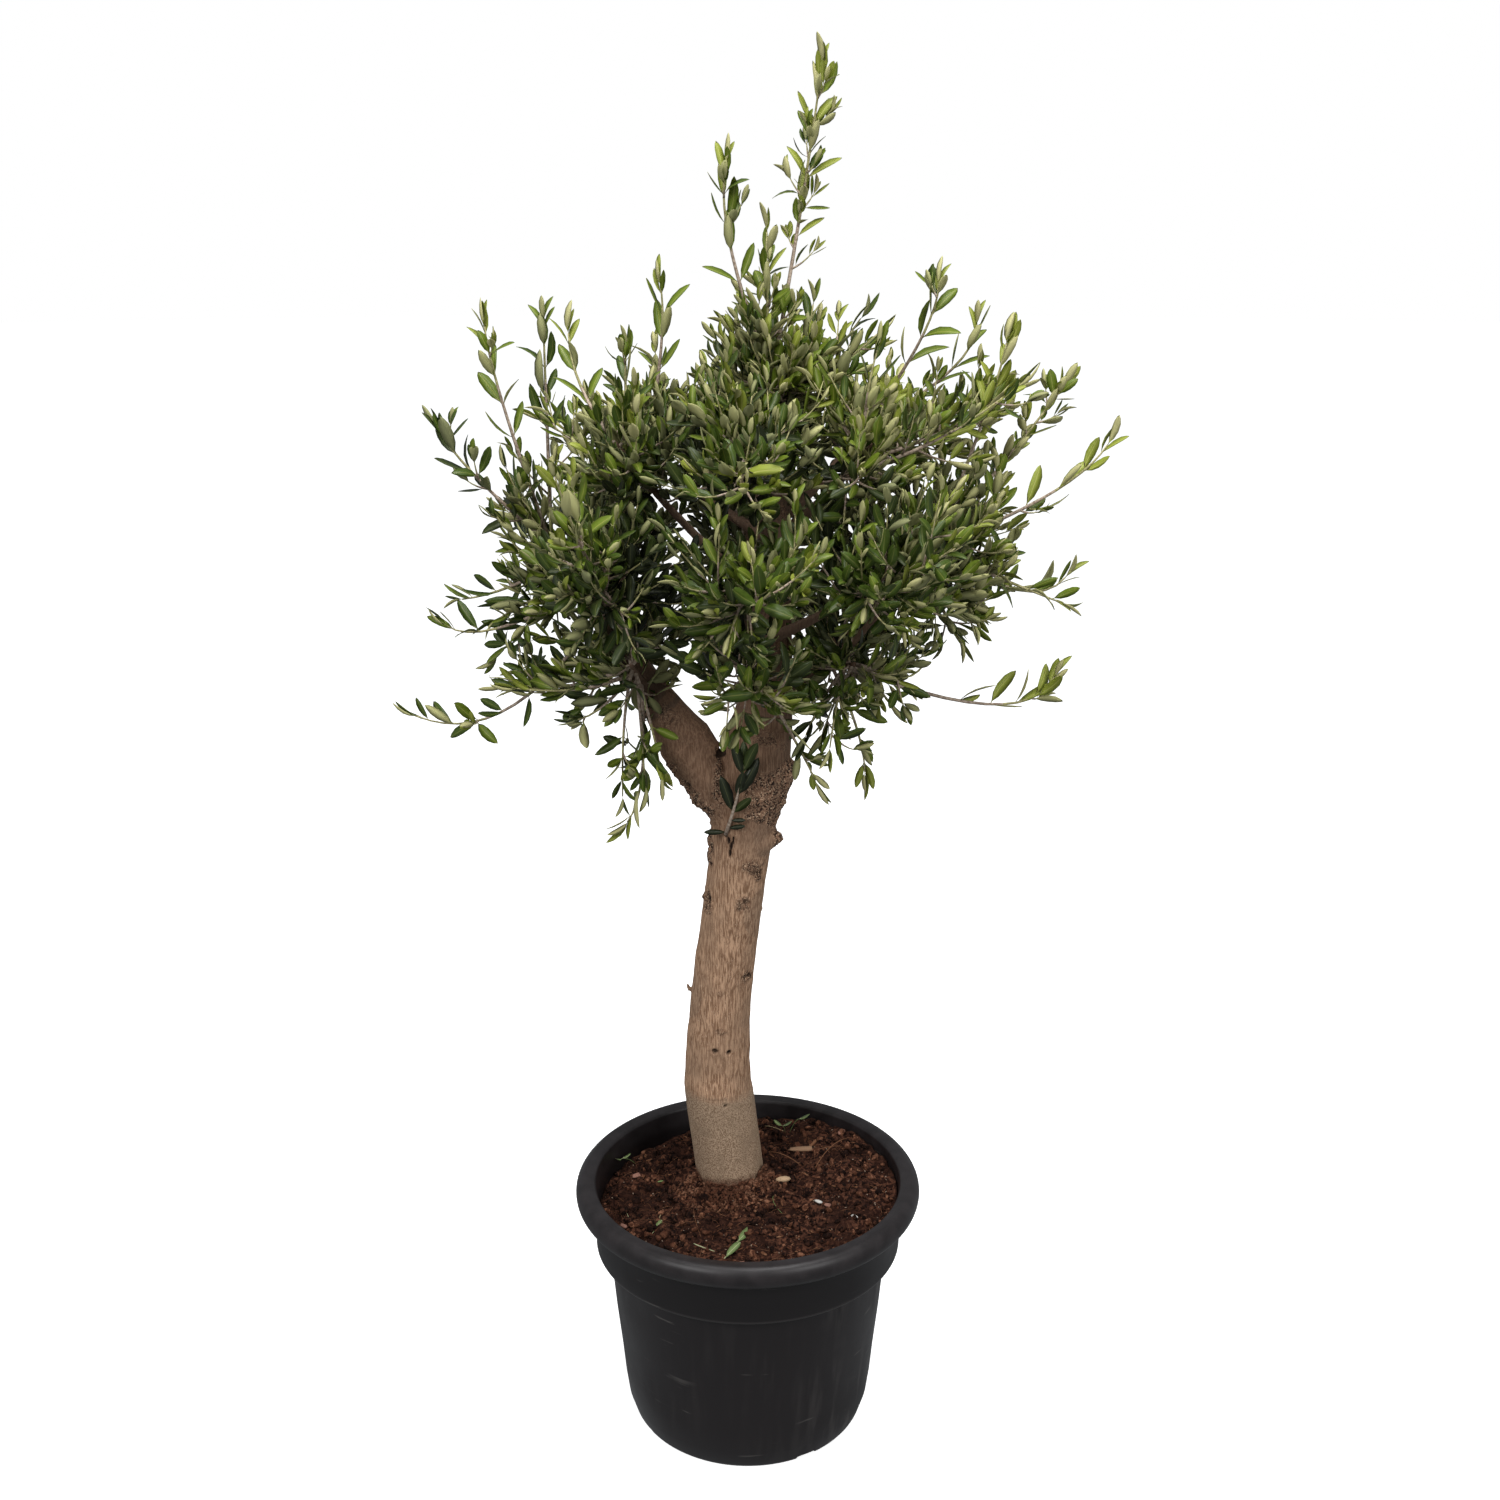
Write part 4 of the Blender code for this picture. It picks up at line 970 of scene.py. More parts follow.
def grow_shoot(spray, stems, mass, name, tip):
    """A shoot with its leaves, and the side twigs that leave it."""
    shoot = shoot_limb(stems, mass, name, tip)
    rng = random.Random(name + " twigs")
    length = (tip - shoot.start).length
    kind = "long" if name in LONG_SHOOTS else "fine" if name.startswith("fill") else "usual"
    short_by, first, apart, twiggy = SHOOT_KINDS[kind]
    filling = kind == "fine"
    end = 1.0 - short_by * LEAF_LENGTH / length
    cut = Limb(shoot.start, shoot.start.lerp(shoot.control, end), shoot.point(end), shoot.radii)
    spray.twigs.add_limb(cut, max(5, round(length / 0.022)), 6, (0, 1), 0.62, TWIG_SINK)
    tone = tone_of(rng, tip, 0.2)
    if filling and tip.z < BARE_DROOP_LEVEL:
        first = BARE_DROOP_SHARE
    spacing = PAIR_SPACING * LONG_PAIR_GAPS.get(name, apart)
    leafy(spray, rng, cut, (first, 1.0 - 0.02 / length), spacing, SHOOT_LEAF_SPREAD,
          LEAF_LENGTH * 1.04, tone, 0.98)
    count = round(length * twiggy / TWIG_SPACING)
    turn = rng.uniform(0.0, math.pi)
    for index in range(count):
        share = 0.06 + 0.8 * (index + rng.uniform(-0.3, 0.3)) / max(count - 1, 1)
        share = min(max(share, 0.03), 0.88)
        point = cut.point(share)
        along, across = turned_across(cut, share, turn + index * GOLDEN_ANGLE)
        outside = depth_in_crown(point) > CROWN_EDGE
        if outside and rng.random() < SIDE_TWIG_GAPS.get(name, FILL_TWIG_GAP if filling else TWIG_GAP):
            continue
        reach = rng.uniform(*TWIG_LENGTHS) * (1.0 - 0.45 * share)
        reach *= (0.65 if filling else 0.32) if outside else 1.0
        way = (along * 0.75 + across + random_turn(rng) * 0.15).normalized()
        twig_tip = point + way * reach + UP * 0.3 * reach
        if depth_in_crown(twig_tip) > FURTHEST_TWIG and not outside:
            reach *= 0.6
            twig_tip = point + way * reach + UP * 0.25 * reach
        twig = Limb(point, point + way * 0.55 * reach, twig_tip, TWIG_RADII)
        spray.twigs.add_limb(twig, 4, 5, (0, 1), 0.5, TWIG_SINK)
        twig_tone = tone_of(rng, twig_tip, 0.0)
        leafy(spray, rng, twig, (0.22, 0.86), PAIR_SPACING * 0.88, TWIG_LEAF_SPREAD,
              LEAF_LENGTH * rng.uniform(0.7, 0.9) * (0.88 if outside else 1.0), twig_tone, 1.27)


def group_of(mass, places):
    """The part of the crown that a mass belongs to."""
    if mass == "top":
        return "top"
    tier = mass.split("_")[0]
    offset = places[mass].x - CROWN_CENTRE.x
    if abs(offset) < 0.05:
        return tier + "_centre"
    return tier + ("_left" if offset < 0.0 else "_right")


def build_crown(places, stems):
    """Leaves and twigs, in two joined pieces for each part of the crown."""
    shapes = leaf_shapes()
    finishes = (leaf_materials(),
                [twig_finish("twig_old", (0.24, 0.175, 0.13), (0.45, 0.36, 0.285)),
                 twig_finish("twig_young", (0.24, 0.225, 0.095), (0.42, 0.38, 0.19))])
    tips = shoot_tips(places)
    sprays = {}
    nodes = {}
    for mass in stems:
        group = group_of(mass, places)
        spray = sprays.setdefault(group, Spray(shapes))
        nodes.setdefault(group, []).append("foliage_" + mass)
        for name, tip in tips[mass]:
            grow_shoot(spray, stems, mass, name, tip)
    for group, spray in sprays.items():
        spray.build(group, nodes[group], *finishes)
    build_sprout(Spray(shapes), finishes)


def twig_finish(name, dark, light):
    finish = Finish(name, dark, 0.7, 0.3)
    return finish.coloured(finish.over(dark, finish.noise(300.0, 3.0), 0.35, 0.65, light))


SPROUT_FOOT = Vector((-0.0265, -0.022, 0.82))
SPROUT_TIP = Vector((-0.006, -0.05, 0.905))
SPROUT_BOW = Vector((0.002, -0.008, 0.0))
# Leaves of the sprout: share along it, direction, length and tone
SPROUT_LEAVES = (
    (0.03, (-1.0, -0.15, 0.05), 0.028, 0),
    (0.1, (0.95, -0.35, 0.25), 0.024, 0),
    (0.24, (0.9, -0.3, 0.12), 0.02, 0),
    (0.38, (-0.28, -0.2, 1.0), 0.05, 0),
    (0.36, (0.7, -0.3, 0.75), 0.036, 1),
    (0.62, (0.2, -0.3, 1.0), 0.04, 0),
    (0.66, (0.55, -0.2, 1.0), 0.052, 0),
    (0.98, (-0.25, -0.15, 1.0), 0.044, 0),
    (1.0, (0.4, -0.1, 1.0), 0.048, 1),
    (1.0, (0.05, 0.1, 1.0), 0.04, 1),
)


def build_sprout(spray, finishes):
    """The young shoot on the front of the trunk."""
    rng = random.Random("sprout")
    stem = Limb(SPROUT_FOOT, (SPROUT_FOOT + SPROUT_TIP) / 2 + SPROUT_BOW, SPROUT_TIP, (0.0024, 0.001))
    spray.twigs.add_limb(stem, 8, 6, (0, 1), 0.9, TWIG_SINK)
    for share, direction, length, tone in SPROUT_LEAVES:
        way = Vector(direction).normalized()
        spray.add_leaf(rng, stem.point(share), way, Vector((0.2, -1.0, 0.35)), length, tone)
    spray.build("sprout", ["foliage_sprout"], *finishes)


# Marks on the bark, seen from the front: x, height, half width, half height and strength
CRUSTS = (
    (0.006, 0.773, 0.014, 0.012, 0.9),
    (0.013, 0.76, 0.007, 0.008, 0.9),
    (-0.005, 0.723, 0.012, 0.013, 0.8),
    (0.0, 0.62, 0.008, 0.009, 0.9),
    (0.02, 0.866, 0.029, 0.04, 1.0),
    (0.046, 0.89, 0.018, 0.025, 1.0),
    (-0.036, 0.884, 0.008, 0.044, 0.9),
    (-0.049, 0.846, 0.013, 0.019, 1.0),
    (-0.049, 0.72, 0.007, 0.02, 0.9),
    (0.039, 0.808, 0.01, 0.013, 1.0),
    (-0.0465, 0.8, 0.005, 0.032, 1.0),
    (-0.092, 0.898, 0.009, 0.016, 0.9),
    (-0.075, 0.878, 0.009, 0.016, 1.0),
    (-0.063, 0.861, 0.009, 0.016, 1.0),
    (0.033, 0.838, 0.013, 0.02, 0.9),
    (0.042, 0.86, 0.007, 0.03, 1.0),
    (-0.033, 0.548, 0.008, 0.006, 0.5),
    (-0.035, 0.6, 0.006, 0.004, 0.4),
)
PITS = (
    (-0.042, 0.52, 0.005, 0.0036, 0.9),
    (-0.024, 0.517, 0.0034, 0.0034, 1.0),
    (-0.0288, 0.441, 0.0028, 0.002, 0.9),
    (-0.05, 0.847, 0.004, 0.004, 1.0),
    (-0.027, 0.818, 0.0024, 0.005, 1.0),
    (-0.024, 0.81, 0.0026, 0.006, 1.0),
    (-0.0212, 0.802, 0.0024, 0.006, 1.0),
    (-0.0222, 0.793, 0.0018, 0.006, 1.0),
    (-0.018, 0.811, 0.0016, 0.006, 1.0),
    (-0.0196, 0.805, 0.0018, 0.005, 0.9),
    (-0.072, 0.882, 0.003, 0.003, 0.9),
    (0.0005, 0.621, 0.003, 0.0022, 0.9),
    (-0.032, 0.919, 0.006, 0.006, 0.9),
    (0.017, 0.763, 0.002, 0.006, 0.9),
    (-0.047, 0.726, 0.0014, 0.011, 0.9),
)


def marked(point, marks, front, edge):
    """How strongly the marks cover a point; edge makes their outline ragged."""
    total = 0.0
    if front < -0.5:
        return total
    for x, height, half_width, half_height, strength in marks:
        across = (point.x - x) / half_width
        along = (point.z - height) / half_height
        distance = across * across + along * along
        if distance < 3.0:
            total = max(total, strength * min(1.0, 3.2 * (1.0 + edge - math.sqrt(distance))))
    return total


def smooth_way(stations, between=8):
    """Points and radii on a smooth curve through the stations of the trunk or of an arm."""
    rows = [Vector((x, y, z, radius)) for z, x, y, radius in stations]
    rows = [rows[0] * 2 - rows[1], *rows, rows[-1] * 2 - rows[-2]]
    places = []
    for before, start, end, after in zip(rows, rows[1:], rows[2:], rows[3:]):
        for index in range(between):
            share = index / between
            bend = (before * -1 + start * 3 - end * 3 + after) * share ** 3
            bend += (before * 2 - start * 5 + end * 4 - after) * share ** 2
            bend += (end - before) * share
            places.append(start + bend / 2)
    places.append(rows[-2])
    return [place.xyz for place in places], [place.w for place in places]


def fused(name, bodies, voxel):
    """Closed bodies joined into one skin."""
    joined = bmesh.new()
    for bm in bodies:
        mesh = bpy.data.meshes.new("body")
        bm.to_mesh(mesh)
        bm.free()
        joined.from_mesh(mesh)
        bpy.data.meshes.remove(mesh)
    item = mesh_object(name, joined)
    remesh = item.modifiers.new("fuse", "REMESH")
    remesh.mode = "VOXEL"
    remesh.voxel_size = voxel
    item.modifiers.new("soften", "SMOOTH").iterations = 3
    apply_modifiers(item)
    return item


def build_bark(limbs, stems):
    """The trunk with its fork, and the boughs and branches, each fused and given the bark's relief."""
    finish = bark_finish()
    fork, crown = [], []
    samples = []
    for stations in (TRUNK_STATIONS, FORK_ARM_STATIONS):
        points, radii = smooth_way(stations)
        fork.append(drawn_out(circle_section(40), limb_places(points, radii))[0])
        samples += zip(points, radii)
    for foot, end, radii in STUBS:
        foot, end = Vector(foot), Vector(end)
        stub = Limb(foot, (foot + end) / 2, end, radii)
        fork.append(drawn_out(circle_section(20), stub.places(6))[0])
        samples.append((end, STUB_END_RADIUS))
    carve_bark("trunk_bark", fork, TRUNK_VOXEL, samples, finish, ["trunk"])
    for limb in [*limbs.values(), *stems.values()]:
        crown.append(drawn_out(circle_section(16), limb.places(16, sink=0.03))[0])
        samples += [(limb.point(index / 12), limb.radius(index / 12)) for index in range(13)]
    carve_bark("boughs_bark", crown, BOUGH_VOXEL, samples, finish, list(limbs))


def carve_bark(name, bodies, voxel, samples, finish, nodes):
    """Fuse bodies and move the skin along its normals: fibres, lumps, crusts and pits."""
    item = fused(name, bodies, voxel)
    mesh = item.data
    tree = KDTree(len(samples))
    for index, (point, radius) in enumerate(samples):
        tree.insert(point, index)
    tree.balance()
    thin, crust, pit, moved = [], [], [], []
    normals = [vertex.normal.copy() for vertex in mesh.vertices]
    for vertex, normal in zip(mesh.vertices, normals):
        point = vertex.co.copy()
        radius = samples[tree.find(point)[1]][1]
        thick = min(1.0, radius / FULL_RELIEF_RADIUS)
        front = -normal.y
        rough = marked(point, CRUSTS, front, noise.noise(point * 90.0) * 0.45)
        hole = marked(point, PITS, front, 0.0)
        wild = max(0.0, noise.noise(point * 26.0 + Vector((4.0, 1.0, 7.0))) - 0.4) * 2.4
        if point.z > BAND_LEVEL and (front < 0.25 or point.z > FORK_LEVEL):
            rough = max(rough, min(wild, 1.0) * 0.85)
        rough = min(rough, 1.0)
        calm = 0.3 if point.z < SMOOTH_LEVEL else 1.0
        fibre = noise.noise(Vector((point.x * 150.0, point.y * 150.0, point.z * 18.0)))
        lump = noise.noise(point * 28.0) + 0.5 * noise.noise(point * 60.0)
        crumble = noise.noise(point * 190.0) + 0.7 * noise.noise(point * 400.0)
        clod = noise.noise(point * 100.0)
        ragged = 0.0006 + 0.0026 * crumble + (0.003 + 0.0025 * (1.0 - abs(front))) * clod
        move = thick * calm * (FIBRE_DEPTH * fibre + LUMP_DEPTH * lump)
        move += rough * thick * ragged - hole * PIT_DEPTH
        moved.append(point + normal * move)
        thin.append(1.0 - min(1.0, max(0.0, (radius - 0.008) / 0.018)))
        crust.append(rough)
        pit.append(min(1.0, hole))
    mesh.vertices.foreach_set("co", np.array(moved).ravel())
    for layer, values in (("thin", thin), ("crust", crust), ("pit", pit)):
        mesh.attributes.new(layer, "FLOAT", "POINT").data.foreach_set("value", values)
    mesh.materials.clear()
    mesh.materials.append(finish)
    mesh.shade_smooth()
    finish_piece(item, nodes)


def arc(centre, radii, first, last, steps):
    """Points of (radius, height) on an ellipse, between two angles in degrees."""
    points = []
    for index in range(steps + 1):
        angle = math.radians(first + (last - first) * index / steps)
        points.append((centre[0] + radii[0] * math.cos(angle), centre[1] + radii[1] * math.sin(angle)))
    return points


def outline(rows):
    """The points of an outline whose rows are points or arcs."""
    return [point for row in rows for point in ([row] if len(row) == 2 else arc(*row))]


# The container's outline, from the middle of its underside over the rim to the middle of its floor:
# points of (radius, height), and arcs
POT_OUTLINE = (
    (0.0, 0.0), ((FOOT_RADIUS - 0.004, 0.014), (0.0125, 0.014), -90.0, -22.0, 6),
    (0.1614, 0.03), (0.1654, 0.06), (0.169, 0.1), (0.1755, 0.16), (0.179, 0.2),
    (BODY_TOP_RADIUS - 0.0008, 0.24),
    ((BODY_TOP_RADIUS + 0.003, 0.2425), (0.0034, 0.004), 180.0, 95.0, 4),
    ((COLLAR_RADIUS - 0.004, COLLAR_BOTTOM + 0.001), (0.004, 0.004), -80.0, 0.0, 5),
    (COLLAR_RADIUS - 0.0002, 0.27), (COLLAR_RADIUS, 0.301),
    ((COLLAR_RADIUS + 0.004, 0.302), (0.0038, 0.0055), 170.0, 95.0, 4),
    ((RIM_RADIUS - 0.0125, 0.3245), (0.0125, 0.0155), -62.0, 88.0, 16),
    ((COLLAR_RADIUS + 0.0045, 0.3335), (0.0055, 0.005), 100.0, 178.0, 6),
    (COLLAR_RADIUS - WALL, 0.31), (COLLAR_RADIUS - WALL - 0.0015, COLLAR_BOTTOM + WALL),
    (BODY_TOP_RADIUS - WALL, COLLAR_BOTTOM), (0.172, 0.161), (0.1578, 0.031), (0.15, 0.012),
    (FOOT_RADIUS - WALL, WALL), (0.0, WALL),
)


def spun(profile, segments):
    """Spin an outline of (radius, height) points about Z into a closed body."""
    bm = bmesh.new()
    points = [bm.verts.new((radius, 0.0, height)) for radius, height in profile]
    edges = [bm.edges.new(pair) for pair in zip(points, points[1:])]
    bmesh.ops.spin(bm, geom=points + edges, cent=(0, 0, 0), axis=(0, 0, 1), angle=2 * math.pi,
                   steps=segments, use_merge=True)
    bmesh.ops.remove_doubles(bm, verts=bm.verts, dist=1e-6)
    bmesh.ops.recalc_face_normals(bm, faces=bm.faces)
    return bm


def build_pot():
    item = mesh_object("container", spun(outline(POT_OUTLINE), POT_SEGMENTS), [pot_finish()])
    cutters = bpy.data.collections.new("slots")
    for index in range(DRAIN_SLOTS):
        bearing = math.radians(FIRST_SLOT_BEARING + 360.0 * index / DRAIN_SLOTS)
        place = Matrix.Rotation(bearing, 4, "Z") @ Matrix.Translation((FOOT_RADIUS, 0.0, 0.0))
        bm = bmesh.new()
        bmesh.ops.create_cube(bm, size=1.0, matrix=place @ Matrix.Diagonal((*SLOT_SIZE, 1.0)))
        upright = [edge for edge in bm.edges if abs(edge.verts[0].co.z - edge.verts[1].co.z) < 1e-6]
        bmesh.ops.bevel(bm, geom=upright, offset=0.003, affect="EDGES", segments=3, profile=0.5,
                        material=-1)
        cutter = mesh_object("slot", bm)
        bpy.context.scene.collection.objects.unlink(cutter)
        cutters.objects.link(cutter)
    boolean = item.modifiers.new("slots", "BOOLEAN")
    boolean.operand_type = "COLLECTION"
    boolean.collection = cutters
    boolean.solver = "EXACT"
    apply_modifiers(item)
    for cutter in list(cutters.objects):
        bpy.data.objects.remove(cutter, do_unlink=True)
    bpy.data.collections.remove(cutters)
    item.data.shade_smooth()
    item.data.set_sharp_from_angle(angle=math.radians(40.0))
    finish_piece(item, ["pot"])


def soil_height(x, y):
    """Height of the soil's surface: level in the middle, lower at the wall, higher at the back right."""
    radius = math.hypot(x, y)
    fall = max(0.0, (radius - SOIL_FLAT_RADIUS) / (COLLAR_RADIUS - SOIL_FLAT_RADIUS))
    level = SOIL_LEVEL - (SOIL_LEVEL - SOIL_EDGE_LEVEL) * fall * fall
    slope = (x + 0.6 * y) / COLLAR_RADIUS
    level += 0.022 * slope if slope > 0.0 else 0.008 * slope
    from_trunk = math.hypot(x - TRUNK_FOOT[0], y - TRUNK_FOOT[1])
    level += 0.013 * math.exp(-(max(0.0, from_trunk - 0.046) / 0.02) ** 2)
    for height, waves, layer in SOIL_WAVES:
        level += height * noise.noise(Vector((x * waves, y * waves, layer)))
    return level


def build_soil():
    outer = COLLAR_RADIUS - WALL - 0.0008
    rings = [(outer * index / SOIL_RINGS, SOIL_LEVEL) for index in range(SOIL_RINGS + 1)]
    bm = spun(rings + SOIL_WALL, SOIL_SEGMENTS)
    for vertex in bm.verts:
        if vertex.co.z > SOIL_LEVEL - 0.001:
            vertex.co.z = soil_height(vertex.co.x, vertex.co.y)
    item = mesh_object("soil_bed", bm, [soil_finish("potting_soil", (0.02, 0.007, 0.0042),
                                                    (0.105, 0.042, 0.024))])
    item.data.shade_smooth()
    finish_piece(item, ["soil"])


def lump(subdivisions, radius, moved):
    """A ball whose points are moved by a rule."""
    bm = bmesh.new()
    bmesh.ops.create_icosphere(bm, subdivisions=subdivisions, radius=radius)
    for vertex in bm.verts:
        vertex.co = moved(vertex.co)
    return Shape(bm)


def crumb_shape():
    rng = random.Random("crumb")
    return lump(1, 1.0, lambda place: place * rng.uniform(0.7, 1.15))


def chip_shape():
    """A splinter of wood: a lump with a ragged outline, flat once it is scaled."""
    rng = random.Random("chip")
    return lump(2, 0.5, lambda place: Vector((math.copysign(abs(place.x) ** 0.75 * 0.84, place.x),
                                              place.y, place.z)) * rng.uniform(0.86, 1.1))


def kernel_shape():
    """A smooth seed, rounder at one end."""
    return lump(2, 0.5, lambda place: Vector((place.x, place.y * (1.0 - 0.7 * place.x), place.z)))


def open_places(rng, count, clear):
    """Random places on the soil, clear of the trunk and of the wall."""
    while count:
        radius = (COLLAR_RADIUS - WALL - 0.006) * math.sqrt(rng.random())
        bearing = rng.uniform(0.0, 2 * math.pi)
        x, y = radius * math.cos(bearing), radius * math.sin(bearing)
        if math.hypot(x - TRUNK_FOOT[0], y - TRUNK_FOOT[1]) > clear:
            count -= 1
            yield x, y


def on_soil(x, y, lift, turn, size):
    """Where a thing lies on the soil, by how far it is lifted, turned and scaled."""
    return Matrix.Translation((x, y, soil_height(x, y) + lift)) @ turn @ Matrix.Diagonal((*size, 1.0))


def tumbled(rng):
    return Matrix.Rotation(rng.uniform(0, FULL_TURN), 4, random_turn(rng))


def build_crumbs():
    """Loose crumbs, pale specks, chips of wood and fibres on the soil."""
    rng = random.Random("crumbs")
    finishes = [soil_finish("crumb_dark", (0.008, 0.003, 0.002), (0.08, 0.032, 0.019)),
                soil_finish("crumb_red", (0.07, 0.026, 0.014), (0.26, 0.118, 0.068)),
                soil_finish("chip_wood", (0.13, 0.055, 0.028), (0.29, 0.15, 0.085)),
                plain_finish("speck_pale", (0.3, 0.215, 0.16), 0.8, 0.2),
                soil_finish("crumb_foot", (0.06, 0.024, 0.013), (0.23, 0.115, 0.07))]
    dark, red, wood, pale, foot = range(5)
    crumbs, chips = [], []
    for x, y in open_places(rng, CRUMBS, 0.05):
        size = 0.0011 + 0.0056 * rng.random() ** 4
        place = on_soil(x, y, size * 0.35, tumbled(rng),
                        (size, size * rng.uniform(0.6, 1.2), size * rng.uniform(0.5, 0.9)))
        crumbs.append((place, [dark if rng.random() < 0.66 else red]))
    for x, y in open_places(rng, SPECKS, 0.06):
        size = rng.uniform(0.0004, 0.001)
        crumbs.append((on_soil(x, y, 0.0012, tumbled(rng), (size * 1.6, size, size * 0.7)), [pale]))
    for index in range(FOOT_CRUMBS):
        bearing = math.radians(rng.uniform(190.0, 350.0))
        reach = 0.0455 + 0.036 * rng.random() ** 1.4
        x = TRUNK_FOOT[0] + reach * math.cos(bearing)
        y = TRUNK_FOOT[1] + reach * math.sin(bearing)
        size = rng.uniform(0.0011, 0.0032)
        turn = tumbled(rng)
        lift = rng.uniform(0.0, 0.006) if reach < 0.049 else size * 0.4
        place = on_soil(x, y, lift, turn, (size, size * 0.8, size * 0.7))
        crumbs.append((place, [foot if rng.random() < 0.65 else red]))
    for x, y in open_places(rng, LOOSE_CHIPS, 0.058):
        length = rng.uniform(0.004, 0.013)
        turn = (Matrix.Rotation(rng.uniform(0, FULL_TURN), 4, "Z")
                @ Matrix.Rotation(rng.uniform(-0.4, 0.4), 4, "Y")
                @ Matrix.Rotation(rng.uniform(-0.6, 0.6), 4, "X"))
        place = on_soil(x, y, 0.001, turn, (length, length * rng.uniform(0.2, 0.4), length * 0.16))
        chips.append((place, [wood if rng.random() < 0.55 else red]))
    heap = Heap()
    heap.add(crumb_shape(), *zip(*crumbs))
    heap.add(chip_shape(), *zip(*chips))
    for x, y in open_places(rng, FIBRES, 0.06):
        length = rng.uniform(0.008, 0.034)
        add_fibre(heap, rng, x, y, 0.0006, rng.uniform(0, FULL_TURN), length, 0.0003, wood)
    finish_piece(heap.build("soil_crumbs", finishes))


def add_fibre(heap, rng, x, y, lift, bearing, length, radius, slot):
    """A thin curved strand that lies on the soil, a little raised in its middle."""
    start = Vector((x, y, soil_height(x, y) + lift))
    way = Vector((math.cos(bearing), math.sin(bearing), 0.0))
    side = Vector((-way.y, way.x, 0.0)) * rng.uniform(-0.3, 0.3) * length
    end = start + way * length
    end.z = soil_height(end.x, end.y) + 0.0006
    if math.hypot(end.x, end.y) > COLLAR_RADIUS - WALL - 0.003:
        return
    control = (start + end) / 2 + side + UP * rng.uniform(0.05, 0.28) * length
    heap.add_limb(Limb(start, control, end, (radius, radius * 0.7)), 6, 4, (slot, slot))


def build_litter():
    """Fallen leaves, straws, chips and seedlings on the soil, each in its place."""
    shapes = leaf_shapes()
    chip, kernel = chip_shape(), kernel_shape()
    heap = Heap()
    rng = random.Random("litter")
    for x, y, bearing, length, slots in FALLEN_LEAVES:
        turn = Matrix.Rotation(math.radians(bearing - 90.0), 4, "Z")
        tilt = (Matrix.Rotation(rng.uniform(0.3, 0.8), 4, "Y")
                @ Matrix.Rotation(rng.uniform(0.0, 0.2), 4, "X"))
        size = (length * 0.85, length, length)
        heap.add(shapes[0], [on_soil(x, y, 0.0025, turn @ tilt, size)], [slots])
    for x, y, bearing, length, radius, slot in STRAWS:
        add_fibre(heap, rng, x, y, 0.0012, math.radians(bearing), length, radius, slot)
    for x, y, bearing, size, slot in CHIPS:
        turn = Matrix.Rotation(math.radians(bearing), 4, "Z") @ Matrix.Rotation(0.3, 4, "X")
        heap.add(kernel if slot in SMOOTH_SLOTS else chip,
                 [on_soil(x, y, size[2] * 0.5, turn, size)], [[slot]])
    for seedling in SEEDLINGS:
        add_seedling(heap, shapes[1], rng, *seedling)
    finishes = [plain_finish("litter_" + name, *numbers) for name, *numbers in LITTER_FINISHES]
    finish_piece(heap.build("soil_litter", finishes))


def add_seedling(heap, leaf, rng, x, y, height, lean):
    """A seedling: a thin stalk with two round leaves."""
    foot = Vector((x, y, soil_height(x, y) - 0.001))
    tip = foot + Vector((*lean, height))
    stalk = Limb(foot, (foot + tip) / 2 + Vector((0, 0, height * 0.3)), tip, (0.0005, 0.0004))
    heap.add_limb(stalk, 5, 5, (0, 0))
    for side in (1.0, -1.0):
        bearing = rng.uniform(0, FULL_TURN)
        way = Vector((math.cos(bearing), math.sin(bearing), 0.25)).normalized() * side
        way.z = abs(way.z)
        heap.add(leaf, [leaf_place(tip, way, UP, height * 0.72, 1.9)], [(0, 1, 1)])


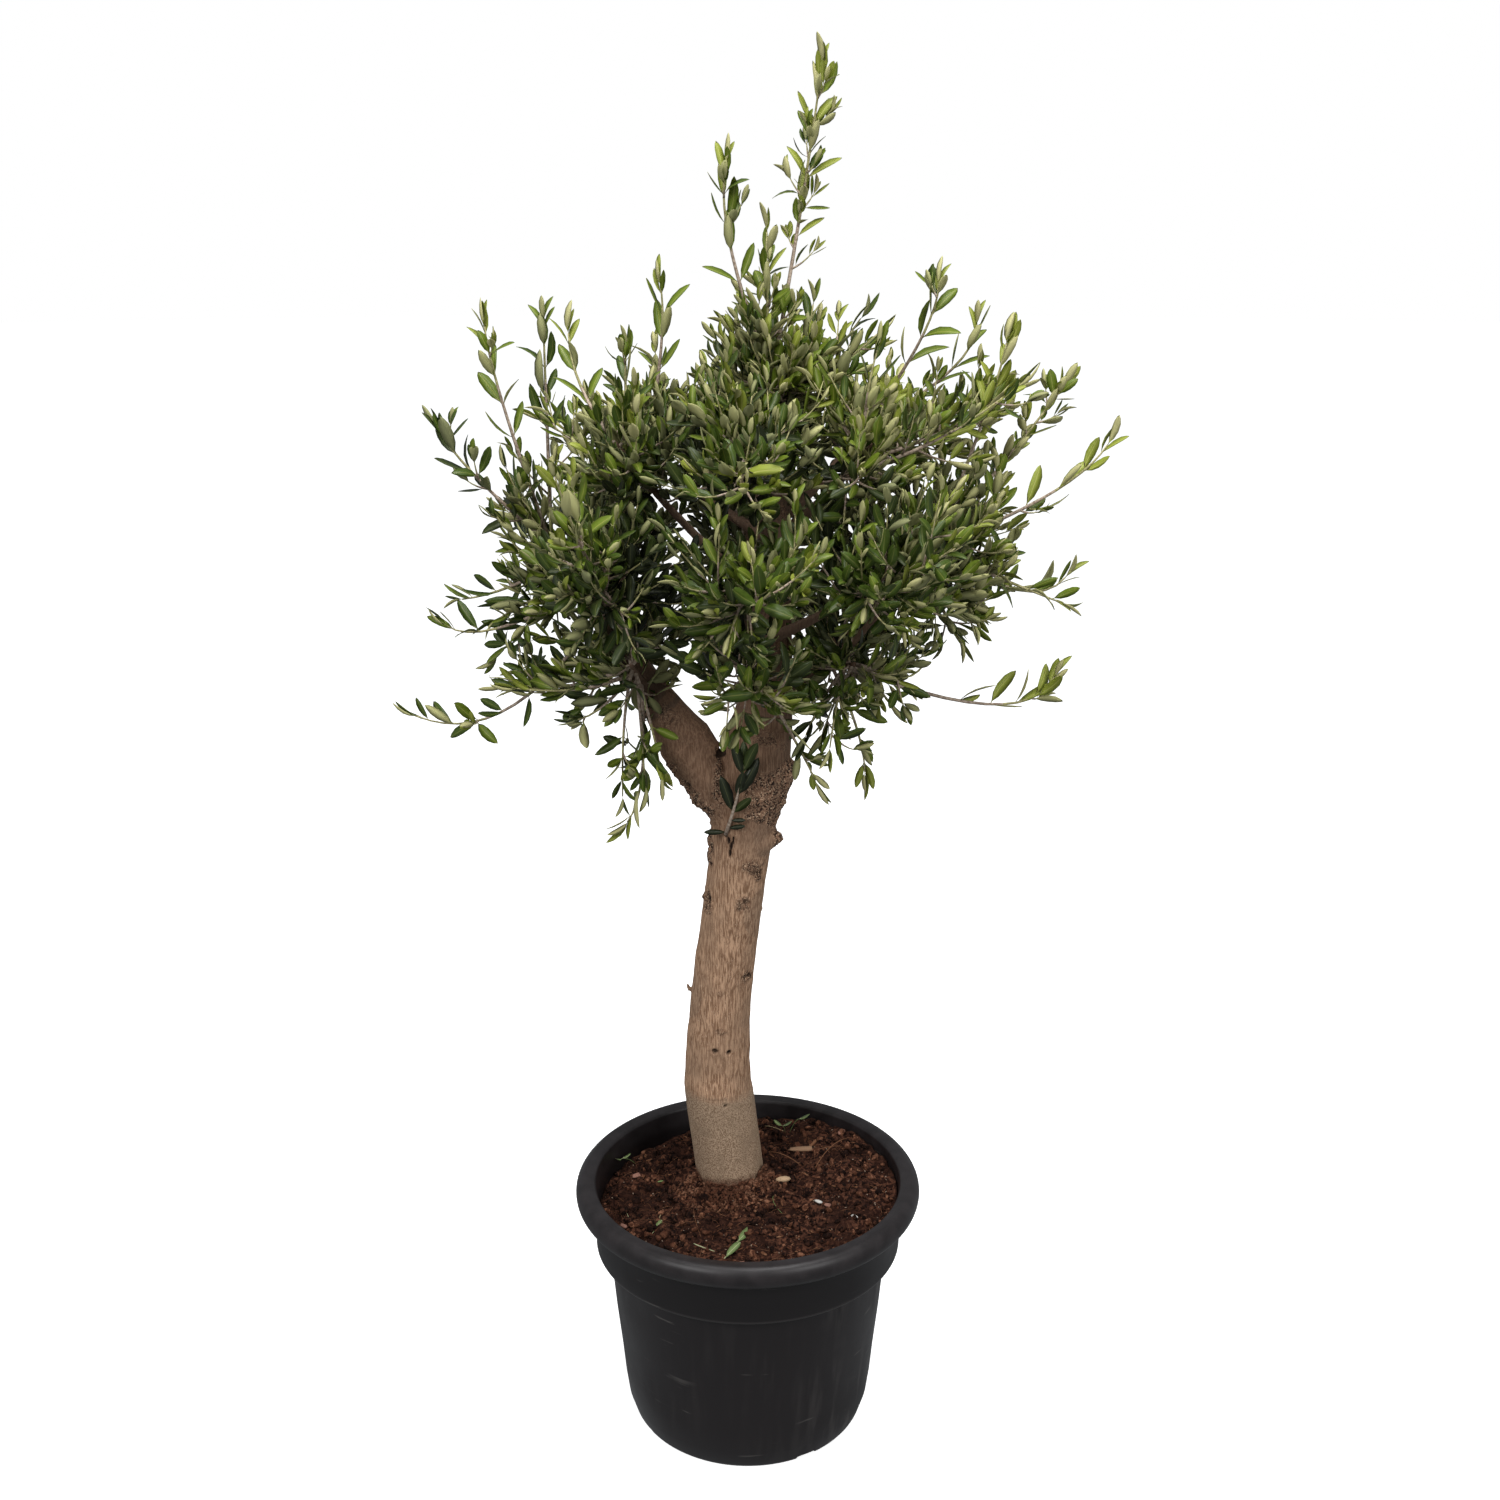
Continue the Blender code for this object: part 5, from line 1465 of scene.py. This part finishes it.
# Litter, by where it lies: x, y, bearing, length or size, and slots
FALLEN_LEAVES = (
    (-0.122, -0.077, 72.0, 0.03, (0, 1, 1)),
    (-0.015, -0.107, 60.0, 0.044, (0, 1, 1)),
    (-0.029, -0.142, 60.0, 0.038, (0, 1, 1)),
    (0.033, -0.012, 80.0, 0.012, (0, 0, 1)),
    (-0.122, 0.036, 20.0, 0.01, (0, 0, 1)),
)
STRAWS = (
    (0.024, 0.165, -42.0, 0.034, 0.0007, 2),
    (-0.109, -0.028, -110.0, 0.016, 0.0006, 2),
    (-0.068, -0.106, -28.0, 0.03, 0.0008, 1),
    (-0.071, -0.025, -80.0, 0.068, 0.0004, 4),
    (0.026, 0.08, -30.0, 0.052, 0.0007, 4),
    (0.135, 0.115, 238.0, 0.088, 0.0007, 4),
    (0.033, -0.01, -70.0, 0.034, 0.0004, 0),
    (-0.165, -0.02, -60.0, 0.02, 0.0005, 1),
    (0.185, -0.05, 62.0, 0.02, 0.0006, 3),
    (0.09, 0.09, 12.0, 0.04, 0.0006, 4),
)
CHIPS = (
    (0.076, 0.094, 4.0, (0.042, 0.009, 0.005), 6),
    (0.09, 0.112, 62.0, (0.03, 0.005, 0.004), 4),
    (0.047, 0.02, 192.0, (0.021, 0.013, 0.008), 7),
    (0.092, -0.03, 145.0, (0.012, 0.008, 0.004), 3),
    (0.104, -0.039, -20.0, (0.01, 0.006, 0.003), 5),
    (0.137, -0.065, -30.0, (0.011, 0.005, 0.003), 3),
    (-0.007, -0.152, 0.0, (0.01, 0.007, 0.004), 5),
    (-0.16, -0.06, -40.0, (0.012, 0.006, 0.004), 5),
    (-0.15, 0.06, 30.0, (0.014, 0.008, 0.005), 5),
    (0.13, 0.13, 50.0, (0.014, 0.007, 0.005), 5),
)
# Litter finishes in the order of the slots: colour, roughness and specular level
LITTER_FINISHES = (
    ("green", (0.16, 0.225, 0.08), 0.6, 0.3),
    ("pale", (0.42, 0.43, 0.25), 0.7, 0.3),
    ("straw", (0.4, 0.3, 0.17), 0.8, 0.2),
    ("white", (0.62, 0.6, 0.56), 0.7, 0.3),
    ("brown", (0.2, 0.09, 0.045), 0.8, 0.2),
    ("pink", (0.3, 0.15, 0.11), 0.8, 0.2),
    ("wood", (0.27, 0.16, 0.095), 0.8, 0.2),
    ("kernel", (0.48, 0.33, 0.2), 0.7, 0.2),
)
# Slots of the pieces with a smooth outline: white flakes and the seed
SMOOTH_SLOTS = (3, 7)
SEEDLINGS = (
    (-0.154, 0.1, 0.02, (-0.018, -0.02)),
    (0.058, 0.14, 0.024, (0.012, -0.004)),
    (0.052, 0.138, 0.02, (-0.004, -0.016)),
)


def main():
    build_camera()
    build_stage()
    places = hearts()
    limbs, stems = build_limbs(places)
    build_bark(limbs, stems)
    build_crown(places, stems)
    build_pot()
    build_soil()
    build_crumbs()
    build_litter()


main()
